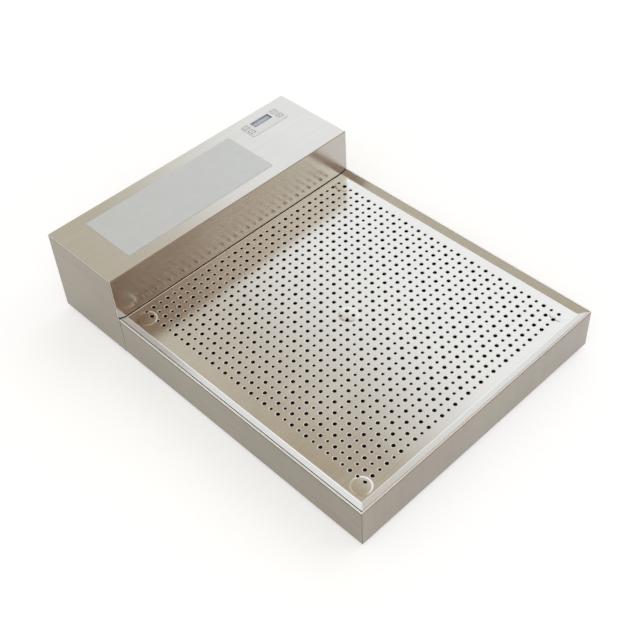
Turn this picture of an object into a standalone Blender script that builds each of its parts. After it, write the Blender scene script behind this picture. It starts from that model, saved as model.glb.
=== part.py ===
"""Glass and cutlery dryer: a warm-air housing behind a shallow tray with a perforated insert.

Metres, +X to the user's right, +Y to the back, +Z up. The origin is the centre of the
footprint on the surface that the feet stand on. Run with
blender --background --python part.py, or from the text editor.
"""

import math

import bmesh
import bpy
from mathutils import Matrix, Vector

# Overall body, without the feet
BODY_WIDTH = 0.532
TRAY_DEPTH = 0.547
HOUSING_DEPTH = 0.168
HOUSING_HEIGHT = 0.160
RIM_HEIGHT = 0.0765

# Sheet metal, gaps between pieces, and the working lengths of cuts and welds
BODY_SHEET = 0.0012
CLEARANCE = 0.0003
SEAM_GAP = 0.0012
EDGE_GAP = 0.0005
OVERRUN = 0.002
WELD_SINK = 0.0004
MERGE_DISTANCE = 0.000001

# Feet
FOOT_HEIGHT = 0.008
FOOT_TOP_RADIUS = 0.013
FOOT_BOTTOM_RADIUS = 0.011
FOOT_INSET = 0.032
FOOT_SIDES = 20

# Tray
HEM_WIDTH = 0.0024
HEM_DEPTH = 0.008
BACK_WALL_DROP = 0.008

# Perforated insert plate
PLATE_SHEET = 0.0015
RIM_DROP = 0.0045
FLAT_MARGIN = 0.015
RIM_GAP = 0.0005
REAR_GAP = 0.0025
REAR_LIP = 0.007

# Hole field: the large holes of a square grid in which large and small take turns
HOLE_PITCH = 0.015
HOLE_DIAMETER = 0.0062
HOLE_SIDES = 4
FIRST_ROW = 0.021
LAST_ROW_MARGIN = 0.012
COLUMN_MARGIN = 0.024
FIELD_SHIFT = 0.0037

# Bosses pressed up in the plate, and the posts that stand under them
BOSS_RADIUS = 0.0177
BOSS_TOP_RADIUS = 0.0157
BOSS_HEIGHT = 0.0022
BOSS_SIDE_INSET = 0.021
BOSS_FRONT_INSET = 0.0203
BOSS_BACK_INSET = 0.0262
CENTRE_BOSS_SHIFT = 0.0065
BOSS_SIDES = 24
POST_HEAD_RADIUS = 0.011
POST_HEAD_HEIGHT = 0.006
POST_STEM_RADIUS = 0.006
POST_BASE_RADIUS = 0.014
POST_BASE_HEIGHT = 0.003
POST_SIDES = 16

# Housing sheets
FOLD_INNER_RADIUS = 0.001
FOLD_STEPS = 4
END_FLANGE = 0.012

# Blowers, which share one shaft along X. Their size is what fits in the housing.
WHEEL_WIDTH = 0.040
WHEEL_PLACE_SHARE = 0.4135
WHEEL_GAP = 0.004
WHEEL_DISC = 0.0015
BLADE_DEPTH = 0.008
BLADES = 16
HUB_RADIUS = 0.009
HUB_LENGTH = 0.014
SHAFT_RADIUS = 0.004
SHAFT_SIDES = 16
SCROLL_WALL = 0.0015
SCROLL_SIDE_GAP = 0.003
SCROLL_GROWTH = 0.016
SCROLL_REAR_GAP = 0.0032
SCROLL_TOP_GAP = 0.012
SCROLL_STEPS = 18
SCROLL_FOOT_LENGTH = 0.012
SCROLL_SHAFT_HOLE = 0.009
WHEEL_DOOR_GAP = 0.002
INLET_RING_BORDER = 0.003
INLET_INSET = 0.011
INLET_LIP = 0.002
ROUND_SIDES = 32

# Air duct, heater blocks and the collars through both walls
DUCT_LIFT = 0.008
DUCT_HEADROOM = 0.0158
COLLAR_WALL = 0.0012
COLLAR_BORDER = 0.005
COLLAR_REACH = 0.007
HEATER_DEPTH = 0.022
HEATER_FRAME = 0.003
HEATER_SLOTS = 8
HEATER_FIN = 0.0012
CUTOUT_RADIUS = 0.008
CUTOUT_HEIGHT = 0.006
CUTOUT_BASE_WIDTH = 0.024
CUTOUT_BASE_DEPTH = 0.012
CUTOUT_BASE_HEIGHT = 0.002

# Motor
MOTOR_RADIUS = 0.033
MOTOR_LENGTH = 0.090
MOTOR_SIDES = 24
BEARING_RADIUS = 0.011
BEARING_LENGTH = 0.006
MOTOR_FOOT_LENGTH = 0.012
MOTOR_FOOT_WIDTH = 0.060

# Intake louvres and filters
LOUVRE_LENGTH = 0.060
LOUVRE_HEIGHT = 0.0035
LOUVRE_PITCH = 0.009
LOUVRE_LOW_MARGIN = 0.044
LOUVRE_TOP_MARGIN = 0.0435
LOUVRE_SIDE_INSET = 0.066
LOUVRE_COLUMN_GAP = 0.010
FILTER_THICKNESS = 0.008
FILTER_BORDER = 0.005
FILTER_CHAMFER = 0.001
LEDGE_THICKNESS = 0.0012

# Keypad overlay with its display window, on the housing's top
OVERLAY_THICKNESS = 0.0008
OVERLAY_CORNER = 0.003
OVERLAY_RIGHT_INSET = 0.0362
OVERLAY_BACK_INSET = 0.0195
OVERLAY_LEFT_MARGIN = 0.0018
OVERLAY_RIGHT_MARGIN = 0.004
OVERLAY_FRONT_MARGIN = 0.00795
OVERLAY_BACK_MARGIN = 0.00255
STICKER_GAP = 0.0002
DISPLAY_WIDTH = 0.040
DISPLAY_DEPTH = 0.0125
DISPLAY_BACK_MARGIN = 0.00555
LENS_THICKNESS = 0.0006
LENS_SINK = 0.0001
KEY_SIZE = 0.012
KEY_CORNER = 0.0015
KEY_DISPLAY_GAP = 0.0081
KEY_GAP = 0.0035
KEY_TOP_THICKNESS = 0.0005
KEY_PROUD = 0.00015
KEY_TRAVEL = 0.0004
KEY_STEM = 0.007
KEY_STEM_GAP = 0.0005

# Control board under the keypad
MODULE_BORDER = 0.002
MODULE_HEIGHT = 0.005
BOARD_THICKNESS = 0.0016
BOARD_BORDER = 0.004
BOARD_EDGE = 0.004
TACT_SIZE = 0.006
TACT_HEIGHT = 0.0035
STANDOFF_RADIUS = 0.003
STANDOFF_SIDES = 6

# Bare label on the housing's top
LABEL_OVERLAY_GAP = 0.0328
LABEL_DEPTH = 0.117
LABEL_THICKNESS = 0.0003
LABEL_LEFT_INSET = 0.059
LABEL_FRONT_INSET = 0.026

# Power board and terminal block
POWER_WIDTH = 0.050
POWER_RIGHT_INSET = 0.020
POWER_FRONT_INSET = 0.022
POWER_BACK_GAP = 0.008
POWER_LIFT = 0.006
POWER_LEG = 0.006
RELAY_WIDTH = 0.016
RELAY_DEPTH = 0.020
RELAY_HEIGHT = 0.016
RELAY_GAP = 0.006
TRANSFORMER_WIDTH = 0.032
TRANSFORMER_DEPTH = 0.028
TRANSFORMER_HEIGHT = 0.024
TERMINAL_WIDTH = 0.040
TERMINAL_DEPTH = 0.016
TERMINAL_HEIGHT = 0.018
TERMINAL_RIGHT_INSET = 0.026
TERMINAL_BACK_GAP = 0.0068
TERMINAL_WELLS = 4
TERMINAL_WELL_SIZE = 0.006
TERMINAL_WELL_DEPTH = 0.007

# Mains inlet and mains switch in the rear panel
REAR_FITTINGS_Z = 0.056
INLET_SIDE_INSET = 0.044
INLET_WALL = 0.00175
INLET_BODY_DEPTH = 0.026
INLET_FLANGE_BORDER = 0.0035
INLET_FLANGE_THICKNESS = 0.0025
SOCKET_WIDTH = 0.0235
SOCKET_HEIGHT = 0.0165
SOCKET_DEPTH = 0.018
SOCKET_CORNER = 0.005
CONTACT_WIDTH = 0.002
CONTACT_HEIGHT = 0.004
CONTACT_LENGTH = 0.010
CONTACT_SPREAD = 0.007
CONTACT_RISE = 0.002
SWITCH_SPACING = 0.050
SWITCH_WALL = 0.002
SWITCH_BODY_DEPTH = 0.0125
SWITCH_WELL_WIDTH = 0.012
SWITCH_WELL_HEIGHT = 0.020
SWITCH_WELL_DEPTH = 0.0125
BEZEL_BORDER = 0.0025
BEZEL_PROUD = 0.0045
ROCKER_SIDE_GAP = 0.0005
ROCKER_END_GAP = 0.00075
ROCKER_SAG = 0.0014
ROCKER_DEPTH = 0.006
ROCKER_PIVOT_DEPTH = 0.0045
ROCKER_TILT_DEGREES = 7.0
ROCKER_STEPS = 6

# Screws and bolts
SCREW_RADIUS = 0.002
SCREW_HEAD_RADIUS = 0.004
SCREW_HEAD_HEIGHT = 0.0024
SCREW_LENGTH = 0.007
SCREW_SIDES = 12
SCREW_SIDE_INSET = 0.0075
SCREW_LOW_Z = 0.016
SCREW_TOP_INSET = 0.018
BOLT_RADIUS = 0.0025
BOLT_HEAD_RADIUS = 0.0045
BOLT_HEAD_HEIGHT = 0.0035
BOLT_TAIL = 0.005
BOLT_SIDE_INSET = 0.081
BOLT_Z = 0.034

# Leads inside the housing
LEAD_RADIUS = 0.0025
RIBBON_RADIUS = 0.002
LEAD_STEPS = 5
LEAD_RISE = 0.012
LEAD_GAP = 0.0009

# Places that follow from the sizes above
HALF_WIDTH = BODY_WIDTH / 2
REAR_PROUD = BEZEL_PROUD + CLEARANCE
OVERALL_DEPTH = TRAY_DEPTH + HOUSING_DEPTH + REAR_PROUD
FRONT_Y = -OVERALL_DEPTH / 2
WALL_Y = FRONT_Y + TRAY_DEPTH
BACK_Y = WALL_Y + HOUSING_DEPTH
TRAY_BACK_Y = WALL_Y - SEAM_GAP
BASE_Z = FOOT_HEIGHT
TOP_Z = BASE_Z + HOUSING_HEIGHT
RIM_Z = BASE_Z + RIM_HEIGHT
PLATE_Z = RIM_Z - RIM_DROP
FLOOR_Z = BASE_Z + BODY_SHEET
CEILING_Z = TOP_Z - BODY_SHEET
TRAY_BACK_TOP_Z = PLATE_Z - BACK_WALL_DROP
PLATE_BACK_Y = WALL_Y - REAR_GAP
FLAT_HALF_WIDTH = HALF_WIDTH - FLAT_MARGIN
FLAT_FRONT_Y = FRONT_Y + FLAT_MARGIN
PANEL_HALF_WIDTH = HALF_WIDTH - BODY_SHEET - EDGE_GAP
PANEL_TOP_Z = CEILING_Z - EDGE_GAP
REAR_INNER_Y = BACK_Y - BODY_SHEET

COLLAR_FLANGE_Y = WALL_Y + BODY_SHEET + CLEARANCE
HEATER_FRONT_Y = COLLAR_FLANGE_Y + COLLAR_WALL + CLEARANCE
SCROLL_MOUTH_Y = HEATER_FRONT_Y + HEATER_DEPTH + CLEARANCE
FILTER_FRONT_Y = REAR_INNER_Y - CLEARANCE - FILTER_THICKNESS
DUCT_FLOOR_Z = FLOOR_Z + DUCT_LIFT
DUCT_TOP_Z = PLATE_Z - REAR_LIP - DUCT_HEADROOM
DUCT_HEIGHT = DUCT_TOP_Z - DUCT_FLOOR_Z
DUCT_HALF_WIDTH = WHEEL_WIDTH / 2 + SCROLL_SIDE_GAP
WHEEL_X = HALF_WIDTH * WHEEL_PLACE_SHARE
SCROLL_FRONT_Y = SCROLL_MOUTH_Y + HEATER_FRAME + SCROLL_WALL
SCROLL_BACK_Y = FILTER_FRONT_Y - SCROLL_REAR_GAP - SCROLL_WALL
SCROLL_TOP_Z = CEILING_Z - SCROLL_TOP_GAP - SCROLL_WALL
SCROLL_END_RADIUS = min(SCROLL_BACK_Y - SCROLL_FRONT_Y, SCROLL_TOP_Z - DUCT_FLOOR_Z) / 2
SCROLL_START_RADIUS = SCROLL_END_RADIUS - SCROLL_GROWTH
WHEEL_RADIUS = SCROLL_START_RADIUS - WHEEL_GAP
WHEEL_DOOR_RADIUS = WHEEL_RADIUS + WHEEL_DOOR_GAP
SHAFT_Z = DUCT_FLOOR_Z + SCROLL_END_RADIUS
SHAFT_Y = SCROLL_FRONT_Y + SCROLL_END_RADIUS

KEY_SPREAD = DISPLAY_WIDTH + KEY_SIZE + 2 * KEY_DISPLAY_GAP
KEY_PITCH = KEY_SIZE + KEY_GAP
OVERLAY_WIDTH = KEY_SPREAD + KEY_SIZE + OVERLAY_LEFT_MARGIN + OVERLAY_RIGHT_MARGIN
OVERLAY_DEPTH = KEY_PITCH + KEY_SIZE + OVERLAY_FRONT_MARGIN + OVERLAY_BACK_MARGIN
OVERLAY_RIGHT_X = HALF_WIDTH - OVERLAY_RIGHT_INSET
OVERLAY_BACK_Y = BACK_Y - OVERLAY_BACK_INSET
OVERLAY_X = OVERLAY_RIGHT_X - OVERLAY_WIDTH / 2
OVERLAY_Y = OVERLAY_BACK_Y - OVERLAY_DEPTH / 2
OVERLAY_BOTTOM_Z = TOP_Z + STICKER_GAP
OVERLAY_TOP_Z = OVERLAY_BOTTOM_Z + OVERLAY_THICKNESS
DISPLAY_X = OVERLAY_RIGHT_X - OVERLAY_RIGHT_MARGIN - (KEY_SIZE + KEY_SPREAD) / 2
DISPLAY_Y = OVERLAY_BACK_Y - DISPLAY_BACK_MARGIN - DISPLAY_DEPTH / 2
MODULE_WIDTH = DISPLAY_WIDTH + 2 * MODULE_BORDER
MODULE_DEPTH = DISPLAY_DEPTH + 2 * MODULE_BORDER
BOARD_WIDTH = OVERLAY_WIDTH + 2 * BOARD_BORDER
BOARD_DEPTH = OVERLAY_DEPTH + 2 * BOARD_BORDER
MODULE_TOP_Z = CEILING_Z - CLEARANCE
BOARD_TOP_Z = MODULE_TOP_Z - MODULE_HEIGHT - CLEARANCE
BOARD_BOTTOM_Z = BOARD_TOP_Z - BOARD_THICKNESS
FITTINGS_Z = BASE_Z + REAR_FITTINGS_Z
INLET_X = HALF_WIDTH - INLET_SIDE_INSET
INLET_BODY_WIDTH = SOCKET_WIDTH + 2 * INLET_WALL
INLET_BODY_HEIGHT = SOCKET_HEIGHT + 2 * INLET_WALL
INLET_FRONT_Y = REAR_INNER_Y - INLET_BODY_DEPTH
SWITCH_X = INLET_X - SWITCH_SPACING
SWITCH_BODY_WIDTH = SWITCH_WELL_WIDTH + 2 * SWITCH_WALL
SWITCH_BODY_HEIGHT = SWITCH_WELL_HEIGHT + 2 * SWITCH_WALL
TERMINAL_BACK_Y = INLET_FRONT_Y - TERMINAL_BACK_GAP
TERMINAL_FRONT_Y = TERMINAL_BACK_Y - TERMINAL_DEPTH
POWER_RIGHT_X = HALF_WIDTH - POWER_RIGHT_INSET
POWER_LEFT_X = POWER_RIGHT_X - POWER_WIDTH
POWER_FRONT_Y = WALL_Y + POWER_FRONT_INSET
POWER_BACK_Y = TERMINAL_FRONT_Y - POWER_BACK_GAP
POWER_TOP_Z = FLOOR_Z + CLEARANCE + POWER_LIFT + BOARD_THICKNESS


def clear_scene():
    """Removes whatever the file opened with."""
    for old in list(bpy.data.objects):
        bpy.data.objects.remove(old)


def make_material(name, colour, roughness, metallic):
    """One Principled BSDF material."""
    material = bpy.data.materials.new(name)
    material.use_nodes = True
    shader = material.node_tree.nodes["Principled BSDF"]
    shader.inputs["Base Color"].default_value = (*colour, 1.0)
    shader.inputs["Roughness"].default_value = roughness
    shader.inputs["Metallic"].default_value = metallic
    return material


def add_object(name, mesh_builder, material=None, place=(0.0, 0.0, 0.0), parent=None):
    """Turns a bmesh into an object at its place."""
    bmesh.ops.recalc_face_normals(mesh_builder, faces=mesh_builder.faces)
    mesh = bpy.data.meshes.new(name)
    mesh_builder.to_mesh(mesh)
    mesh_builder.free()
    piece = bpy.data.objects.new(name, mesh)
    bpy.context.collection.objects.link(piece)
    piece.location = place
    if parent is not None:
        piece.location = Vector(place) - parent.location
        piece.parent = parent
    if material is None:
        piece.hide_render = True
        piece.display_type = "WIRE"
    else:
        mesh.materials.append(material)
    return piece


def add_empty(name, place):
    """A guide that carries a moving piece on its joint's axis."""
    guide = bpy.data.objects.new(name, None)
    bpy.context.collection.objects.link(guide)
    guide.location = place
    return guide


def add_box(name, low, high, material=None, parent=None):
    """A block between two corners, with its origin in its middle."""
    low, high = Vector(low), Vector(high)
    builder = bmesh.new()
    bmesh.ops.create_cube(builder, size=1, matrix=Matrix.Diagonal((*(high - low), 1)))
    return add_object(name, builder, material, (low + high) / 2, parent)


def extrude_outline(points, shift):
    """A closed prism from an outline's points and one extrusion."""
    builder = bmesh.new()
    face = builder.faces.new([builder.verts.new(point) for point in points])
    grown = bmesh.ops.extrude_face_region(builder, geom=[face])
    moved = [item for item in grown["geom"] if isinstance(item, bmesh.types.BMVert)]
    bmesh.ops.translate(builder, verts=moved, vec=shift)
    return builder


def spin_profile(profile, sides, turn, closed):
    """A turned form: a profile of (radius, height) points spun about Z, then turned."""
    builder = bmesh.new()
    points = [builder.verts.new((radius, 0.0, height)) for radius, height in profile]
    edges = [builder.edges.new(pair) for pair in zip(points, points[1:])]
    if closed:
        edges.append(builder.edges.new((points[-1], points[0])))
    bmesh.ops.spin(
        builder, geom=points + edges, cent=(0, 0, 0), axis=(0, 0, 1),
        angle=math.tau, steps=sides, use_merge=True,
    )
    bmesh.ops.remove_doubles(builder, verts=builder.verts, dist=MERGE_DISTANCE)
    bmesh.ops.transform(builder, matrix=turn, verts=builder.verts)
    return builder


UPRIGHT = Matrix.Identity(4)
ALONG_X = Matrix.Rotation(math.pi / 2, 4, "Y")
ALONG_Y = Matrix.Rotation(-math.pi / 2, 4, "X")


def add_turned(name, profile, sides, place, material=None, turn=UPRIGHT, parent=None):
    """A solid turned piece, its profile starting and ending on the axis."""
    piece = add_object(name, spin_profile(profile, sides, turn, False), material, place, parent)
    shade_round(piece)
    return piece


def add_ring(name, profile, sides, place, material=None, turn=UPRIGHT, parent=None):
    """A turned piece with a bore: its profile is a closed loop off the axis."""
    piece = add_object(name, spin_profile(profile, sides, turn, True), material, place, parent)
    shade_round(piece)
    return piece


def rod_profile(radius, length):
    """The half outline of a plain rod that starts at height zero."""
    return [(0.0, 0.0), (radius, 0.0), (radius, length), (0.0, length)]


def shade_round(piece):
    """Smooth round faces, sharp rims."""
    piece.data.shade_smooth()
    piece.data.set_sharp_from_angle(angle=math.radians(35))


def apply_shape(piece, other, operation):
    """A live Boolean that keeps the exact solver."""
    modifier = piece.modifiers.new(other.name, "BOOLEAN")
    modifier.operation = operation
    modifier.solver = "EXACT"
    modifier.object = other


def cut(piece, *cutters):
    for cutter in cutters:
        apply_shape(piece, cutter, "DIFFERENCE")


def fuse(piece, *details):
    for detail in details:
        apply_shape(piece, detail, "UNION")


def rounded_rectangle(width, depth, corner, height):
    """The outline of a rectangle with quarter-round corners, about the origin."""
    points = []
    for quarter, (sign_x, sign_y) in enumerate(((1, 1), (-1, 1), (-1, -1), (1, -1))):
        middle_x = sign_x * (width / 2 - corner)
        middle_y = sign_y * (depth / 2 - corner)
        for step in range(4):
            angle = math.pi / 2 * (quarter + step / 3)
            x = middle_x + corner * math.cos(angle)
            y = middle_y + corner * math.sin(angle)
            points.append((x, y, height))
    return points


def sides_of(name):
    """The two mirrored copies of a paired piece: its name, and the sign of its X."""
    return ((name + "_left", -1), (name + "_right", 1))


def boss_places():
    """Where the five bosses sit, and the posts under them."""
    side_x = FLAT_HALF_WIDTH - BOSS_SIDE_INSET
    front_y = FLAT_FRONT_Y + BOSS_FRONT_INSET
    back_y = PLATE_BACK_Y - BOSS_BACK_INSET
    middle_y = (front_y + back_y) / 2 + CENTRE_BOSS_SHIFT
    return (
        ("front_left", -side_x, front_y),
        ("front_right", side_x, front_y),
        ("centre", 0.0, middle_y),
        ("back_left", -side_x, back_y),
        ("back_right", side_x, back_y),
    )


def bolt_places():
    x = HALF_WIDTH - BOLT_SIDE_INSET
    return (("left", -x), ("right", x))


def screw_places():
    side_x = HALF_WIDTH - SCREW_SIDE_INSET
    low_z = BASE_Z + SCREW_LOW_Z
    high_z = TOP_Z - SCREW_TOP_INSET
    return (
        ("lower_left", -side_x, low_z),
        ("lower_right", side_x, low_z),
        ("upper_left", -side_x, high_z),
        ("upper_right", side_x, high_z),
    )


def key_places():
    """The four keys: two at each end of the overlay."""
    left_x = DISPLAY_X - KEY_SPREAD / 2
    right_x = DISPLAY_X + KEY_SPREAD / 2
    back_y = OVERLAY_BACK_Y - OVERLAY_BACK_MARGIN - KEY_SIZE / 2
    front_y = back_y - KEY_PITCH
    return (
        ("left_back", left_x, back_y),
        ("left_front", left_x, front_y),
        ("right_back", right_x, back_y),
        ("right_front", right_x, front_y),
    )


def louvre_places():
    """The middle of each louvre column: two on the left, one that mirrors the inner of them."""
    outer_x = -HALF_WIDTH + LOUVRE_SIDE_INSET + LOUVRE_LENGTH / 2
    inner_x = outer_x + LOUVRE_LENGTH + LOUVRE_COLUMN_GAP
    return (outer_x, inner_x, -inner_x)


def filter_spans():
    """The X span of each filter, which covers its louvres and a border."""
    outer_x, inner_x, right_x = louvre_places()
    reach = LOUVRE_LENGTH / 2 + FILTER_BORDER
    return (
        ("left", outer_x - reach, inner_x + reach),
        ("right", right_x - reach, right_x + reach),
    )


def louvre_rows():
    """The height of each louvre row."""
    rows = int((HOUSING_HEIGHT - LOUVRE_LOW_MARGIN - LOUVRE_TOP_MARGIN) / LOUVRE_PITCH) + 1
    return [BASE_Z + LOUVRE_LOW_MARGIN + LOUVRE_PITCH * row for row in range(rows)]


def add_rod(name, radius, place, direction, length, sides=SCREW_SIDES, material=None):
    """A plain rod, hidden unless it has a material, that runs from its place."""
    return add_turned(name, rod_profile(radius, length), sides, place, material, direction)


def duct_box(name, x, low_y, high_y, growth, material=None):
    """A block with the duct's cross section, grown on each side."""
    return add_box(
        name,
        (x - DUCT_HALF_WIDTH - growth, low_y, DUCT_FLOOR_Z - growth),
        (x + DUCT_HALF_WIDTH + growth, high_y, DUCT_TOP_Z + growth),
        material,
    )


def build_tray_shell(steel):
    """Folded tray: floor, four walls, and a hem folded in along three top edges."""
    shell = add_box(
        "tray_shell", (-HALF_WIDTH, FRONT_Y, BASE_Z), (HALF_WIDTH, TRAY_BACK_Y, RIM_Z), steel
    )
    inner_back_y = TRAY_BACK_Y - BODY_SHEET
    well = add_box(
        "cut_tray_well",
        (-HALF_WIDTH + BODY_SHEET, FRONT_Y + BODY_SHEET, FLOOR_Z),
        (HALF_WIDTH - BODY_SHEET, inner_back_y, RIM_Z - HEM_DEPTH),
    )
    mouth = add_box(
        "cut_tray_mouth",
        (-HALF_WIDTH + HEM_WIDTH, FRONT_Y + HEM_WIDTH, RIM_Z - HEM_DEPTH - OVERRUN),
        (HALF_WIDTH - HEM_WIDTH, inner_back_y, RIM_Z + OVERRUN),
    )
    back = add_box(
        "cut_tray_back",
        (-HALF_WIDTH + HEM_WIDTH, inner_back_y - OVERRUN, TRAY_BACK_TOP_Z),
        (HALF_WIDTH - HEM_WIDTH, TRAY_BACK_Y + OVERRUN, RIM_Z + OVERRUN),
    )
    cut(shell, well, mouth, back)
    for name, side in sides_of("cut_tray_port"):
        port = duct_box(
            name, side * WHEEL_X, inner_back_y - OVERRUN, TRAY_BACK_Y + OVERRUN, COLLAR_WALL + CLEARANCE
        )
        cut(shell, port)
    for side, x in bolt_places():
        hole = add_rod(
            "cut_tray_bolt_" + side, BOLT_RADIUS + CLEARANCE, (x, inner_back_y - OVERRUN, BASE_Z + BOLT_Z),
            ALONG_Y, BODY_SHEET + 2 * OVERRUN,
        )
        cut(shell, hole)
    return shell


def large_hole_places():
    """The grid's large holes. The first row repeats the second row's order."""
    first_y = FLAT_FRONT_Y + FIRST_ROW
    rows = int((PLATE_BACK_Y - LAST_ROW_MARGIN - first_y) / HOLE_PITCH) + 1
    columns = int((FLAT_HALF_WIDTH - COLUMN_MARGIN) / HOLE_PITCH) * 2 + 1
    first_x = FIELD_SHIFT - HOLE_PITCH * (columns - 1) / 2
    places = []
    for row in range(rows):
        for column in range(columns):
            if (column + max(row, 1)) % 2 == 0:
                places.append((first_x + HOLE_PITCH * column, first_y + HOLE_PITCH * row))
    return places


def build_insert_plate(steel, guide):
    """Lift-out plate: flat field, three sloped rims, a rear lip, bosses and holes."""
    rim_x = HALF_WIDTH - HEM_WIDTH - RIM_GAP
    rim_front_y = FRONT_Y + HEM_WIDTH + RIM_GAP
    outer = [
        (-rim_x, PLATE_BACK_Y, RIM_Z), (-rim_x, rim_front_y, RIM_Z),
        (rim_x, rim_front_y, RIM_Z), (rim_x, PLATE_BACK_Y, RIM_Z),
    ]
    inner = [
        (-FLAT_HALF_WIDTH, PLATE_BACK_Y, PLATE_Z), (-FLAT_HALF_WIDTH, FLAT_FRONT_Y, PLATE_Z),
        (FLAT_HALF_WIDTH, FLAT_FRONT_Y, PLATE_Z), (FLAT_HALF_WIDTH, PLATE_BACK_Y, PLATE_Z),
    ]
    builder = bmesh.new()
    rim = [builder.verts.new(point) for point in outer]
    flat = [builder.verts.new(point) for point in inner]
    faces = [builder.faces.new(flat)]
    for start in range(3):
        faces.append(builder.faces.new((rim[start], rim[start + 1], flat[start + 1], flat[start])))
    grown = bmesh.ops.extrude_face_region(builder, geom=faces)
    moved = [item for item in grown["geom"] if isinstance(item, bmesh.types.BMVert)]
    bmesh.ops.translate(builder, verts=moved, vec=(0, 0, -PLATE_SHEET))
    bmesh.ops.translate(builder, verts=builder.verts, vec=-guide.location)
    plate = add_object("perforated_plate", builder, steel, guide.location, guide)
    lip = add_box(
        "join_plate_lip",
        (-FLAT_HALF_WIDTH, PLATE_BACK_Y - PLATE_SHEET, PLATE_Z - REAR_LIP),
        (FLAT_HALF_WIDTH, PLATE_BACK_Y, PLATE_Z - WELD_SINK),
    )
    fuse(plate, lip)
    for name, x, y in boss_places():
        boss = add_turned(
            "join_boss_" + name,
            [(0.0, -WELD_SINK), (BOSS_RADIUS, -WELD_SINK), (BOSS_RADIUS, 0.0),
             (BOSS_TOP_RADIUS, BOSS_HEIGHT), (0.0, BOSS_HEIGHT)],
            BOSS_SIDES, (x, y, PLATE_Z),
        )
        fuse(plate, boss)
    for name, x, y in boss_places():
        inner_radius = BOSS_RADIUS - PLATE_SHEET
        inner_top_radius = BOSS_TOP_RADIUS - PLATE_SHEET
        hollow = add_turned(
            "cut_boss_" + name,
            [(0.0, -OVERRUN), (inner_radius, -OVERRUN), (inner_radius, 0.0),
             (inner_top_radius, BOSS_HEIGHT), (0.0, BOSS_HEIGHT)],
            BOSS_SIDES, (x, y, PLATE_Z - PLATE_SHEET),
        )
        cut(plate, hollow)
    drill = bmesh.new()
    reach = PLATE_SHEET + BOSS_HEIGHT + 2 * OVERRUN
    middle_z = PLATE_Z - PLATE_SHEET - OVERRUN + reach / 2
    radius = HOLE_DIAMETER / 2
    for x, y in large_hole_places():
        bmesh.ops.create_cone(
            drill, cap_ends=True, segments=HOLE_SIDES, radius1=radius, radius2=radius, depth=reach,
            matrix=Matrix.Translation((x, y, middle_z)),
        )
    cut(plate, add_object("cut_plate_holes", drill))
    return plate


def build_posts(plastic):
    """A turned post under each boss, from the tray's floor up into the boss."""
    foot_z = FLOOR_Z + CLEARANCE
    top = PLATE_Z - PLATE_SHEET + BOSS_HEIGHT - CLEARANCE - foot_z
    profile = [
        (0.0, 0.0), (POST_BASE_RADIUS, 0.0), (POST_BASE_RADIUS, POST_BASE_HEIGHT),
        (POST_STEM_RADIUS, POST_BASE_HEIGHT), (POST_STEM_RADIUS, top - POST_HEAD_HEIGHT),
        (POST_HEAD_RADIUS, top - POST_HEAD_HEIGHT), (POST_HEAD_RADIUS, top), (0.0, top),
    ]
    for name, x, y in boss_places():
        add_turned("plate_post_" + name, profile, POST_SIDES, (x, y, foot_z), plastic)


def build_feet(rubber):
    """Six rubber feet: four under the tray, two under the housing."""
    rows = (
        ("front", FRONT_Y + FOOT_INSET),
        ("middle", TRAY_BACK_Y - FOOT_INSET),
        ("back", BACK_Y - FOOT_INSET),
    )
    profile = [
        (0.0, 0.0), (FOOT_BOTTOM_RADIUS, 0.0), (FOOT_TOP_RADIUS, FOOT_HEIGHT - CLEARANCE),
        (0.0, FOOT_HEIGHT - CLEARANCE),
    ]
    for row, y in rows:
        for name, side in sides_of("foot_" + row):
            add_turned(name, profile, FOOT_SIDES, (side * (HALF_WIDTH - FOOT_INSET), y, 0.0), rubber)


def build_housing_cover(steel):
    """Front wall and top in one folded sheet, with the ports and keypad openings."""
    outer_radius = FOLD_INNER_RADIUS + BODY_SHEET

    def corner(radius):
        middle = (WALL_Y + outer_radius, TOP_Z - outer_radius)
        angles = [math.pi / 2 * step / FOLD_STEPS for step in range(FOLD_STEPS + 1)]
        return [(middle[0] - radius * math.cos(a), middle[1] + radius * math.sin(a)) for a in angles]

    outline = [(WALL_Y, BASE_Z)] + corner(outer_radius) + [(BACK_Y, TOP_Z), (BACK_Y, CEILING_Z)]
    outline += corner(FOLD_INNER_RADIUS)[::-1] + [(WALL_Y + BODY_SHEET, BASE_Z)]
    points = [(-HALF_WIDTH, y, z) for y, z in outline]
    cover = add_object("housing_cover", extrude_outline(points, (BODY_WIDTH, 0, 0)), steel)
    for name, side in sides_of("cut_cover_port"):
        port = duct_box(
            name, side * WHEEL_X, WALL_Y - OVERRUN, WALL_Y + BODY_SHEET + OVERRUN, COLLAR_WALL + CLEARANCE
        )
        cut(cover, port)
    for side, x in bolt_places():
        hole = add_rod(
            "cut_cover_bolt_" + side, BOLT_RADIUS + CLEARANCE, (x, WALL_Y - OVERRUN, BASE_Z + BOLT_Z),
            ALONG_Y, BODY_SHEET + 2 * OVERRUN,
        )
        cut(cover, hole)
    half_stem = KEY_STEM / 2 + KEY_STEM_GAP
    for name, x, y in key_places():
        hole = add_box(
            "cut_cover_key_" + name,
            (x - half_stem, y - half_stem, CEILING_Z - OVERRUN),
            (x + half_stem, y + half_stem, TOP_Z + OVERRUN),
        )
        cut(cover, hole)
    window = add_box(
        "cut_cover_display",
        (DISPLAY_X - DISPLAY_WIDTH / 2, DISPLAY_Y - DISPLAY_DEPTH / 2, CEILING_Z - OVERRUN),
        (DISPLAY_X + DISPLAY_WIDTH / 2, DISPLAY_Y + DISPLAY_DEPTH / 2, TOP_Z + OVERRUN),
    )
    cut(cover, window)
    return cover


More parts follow.
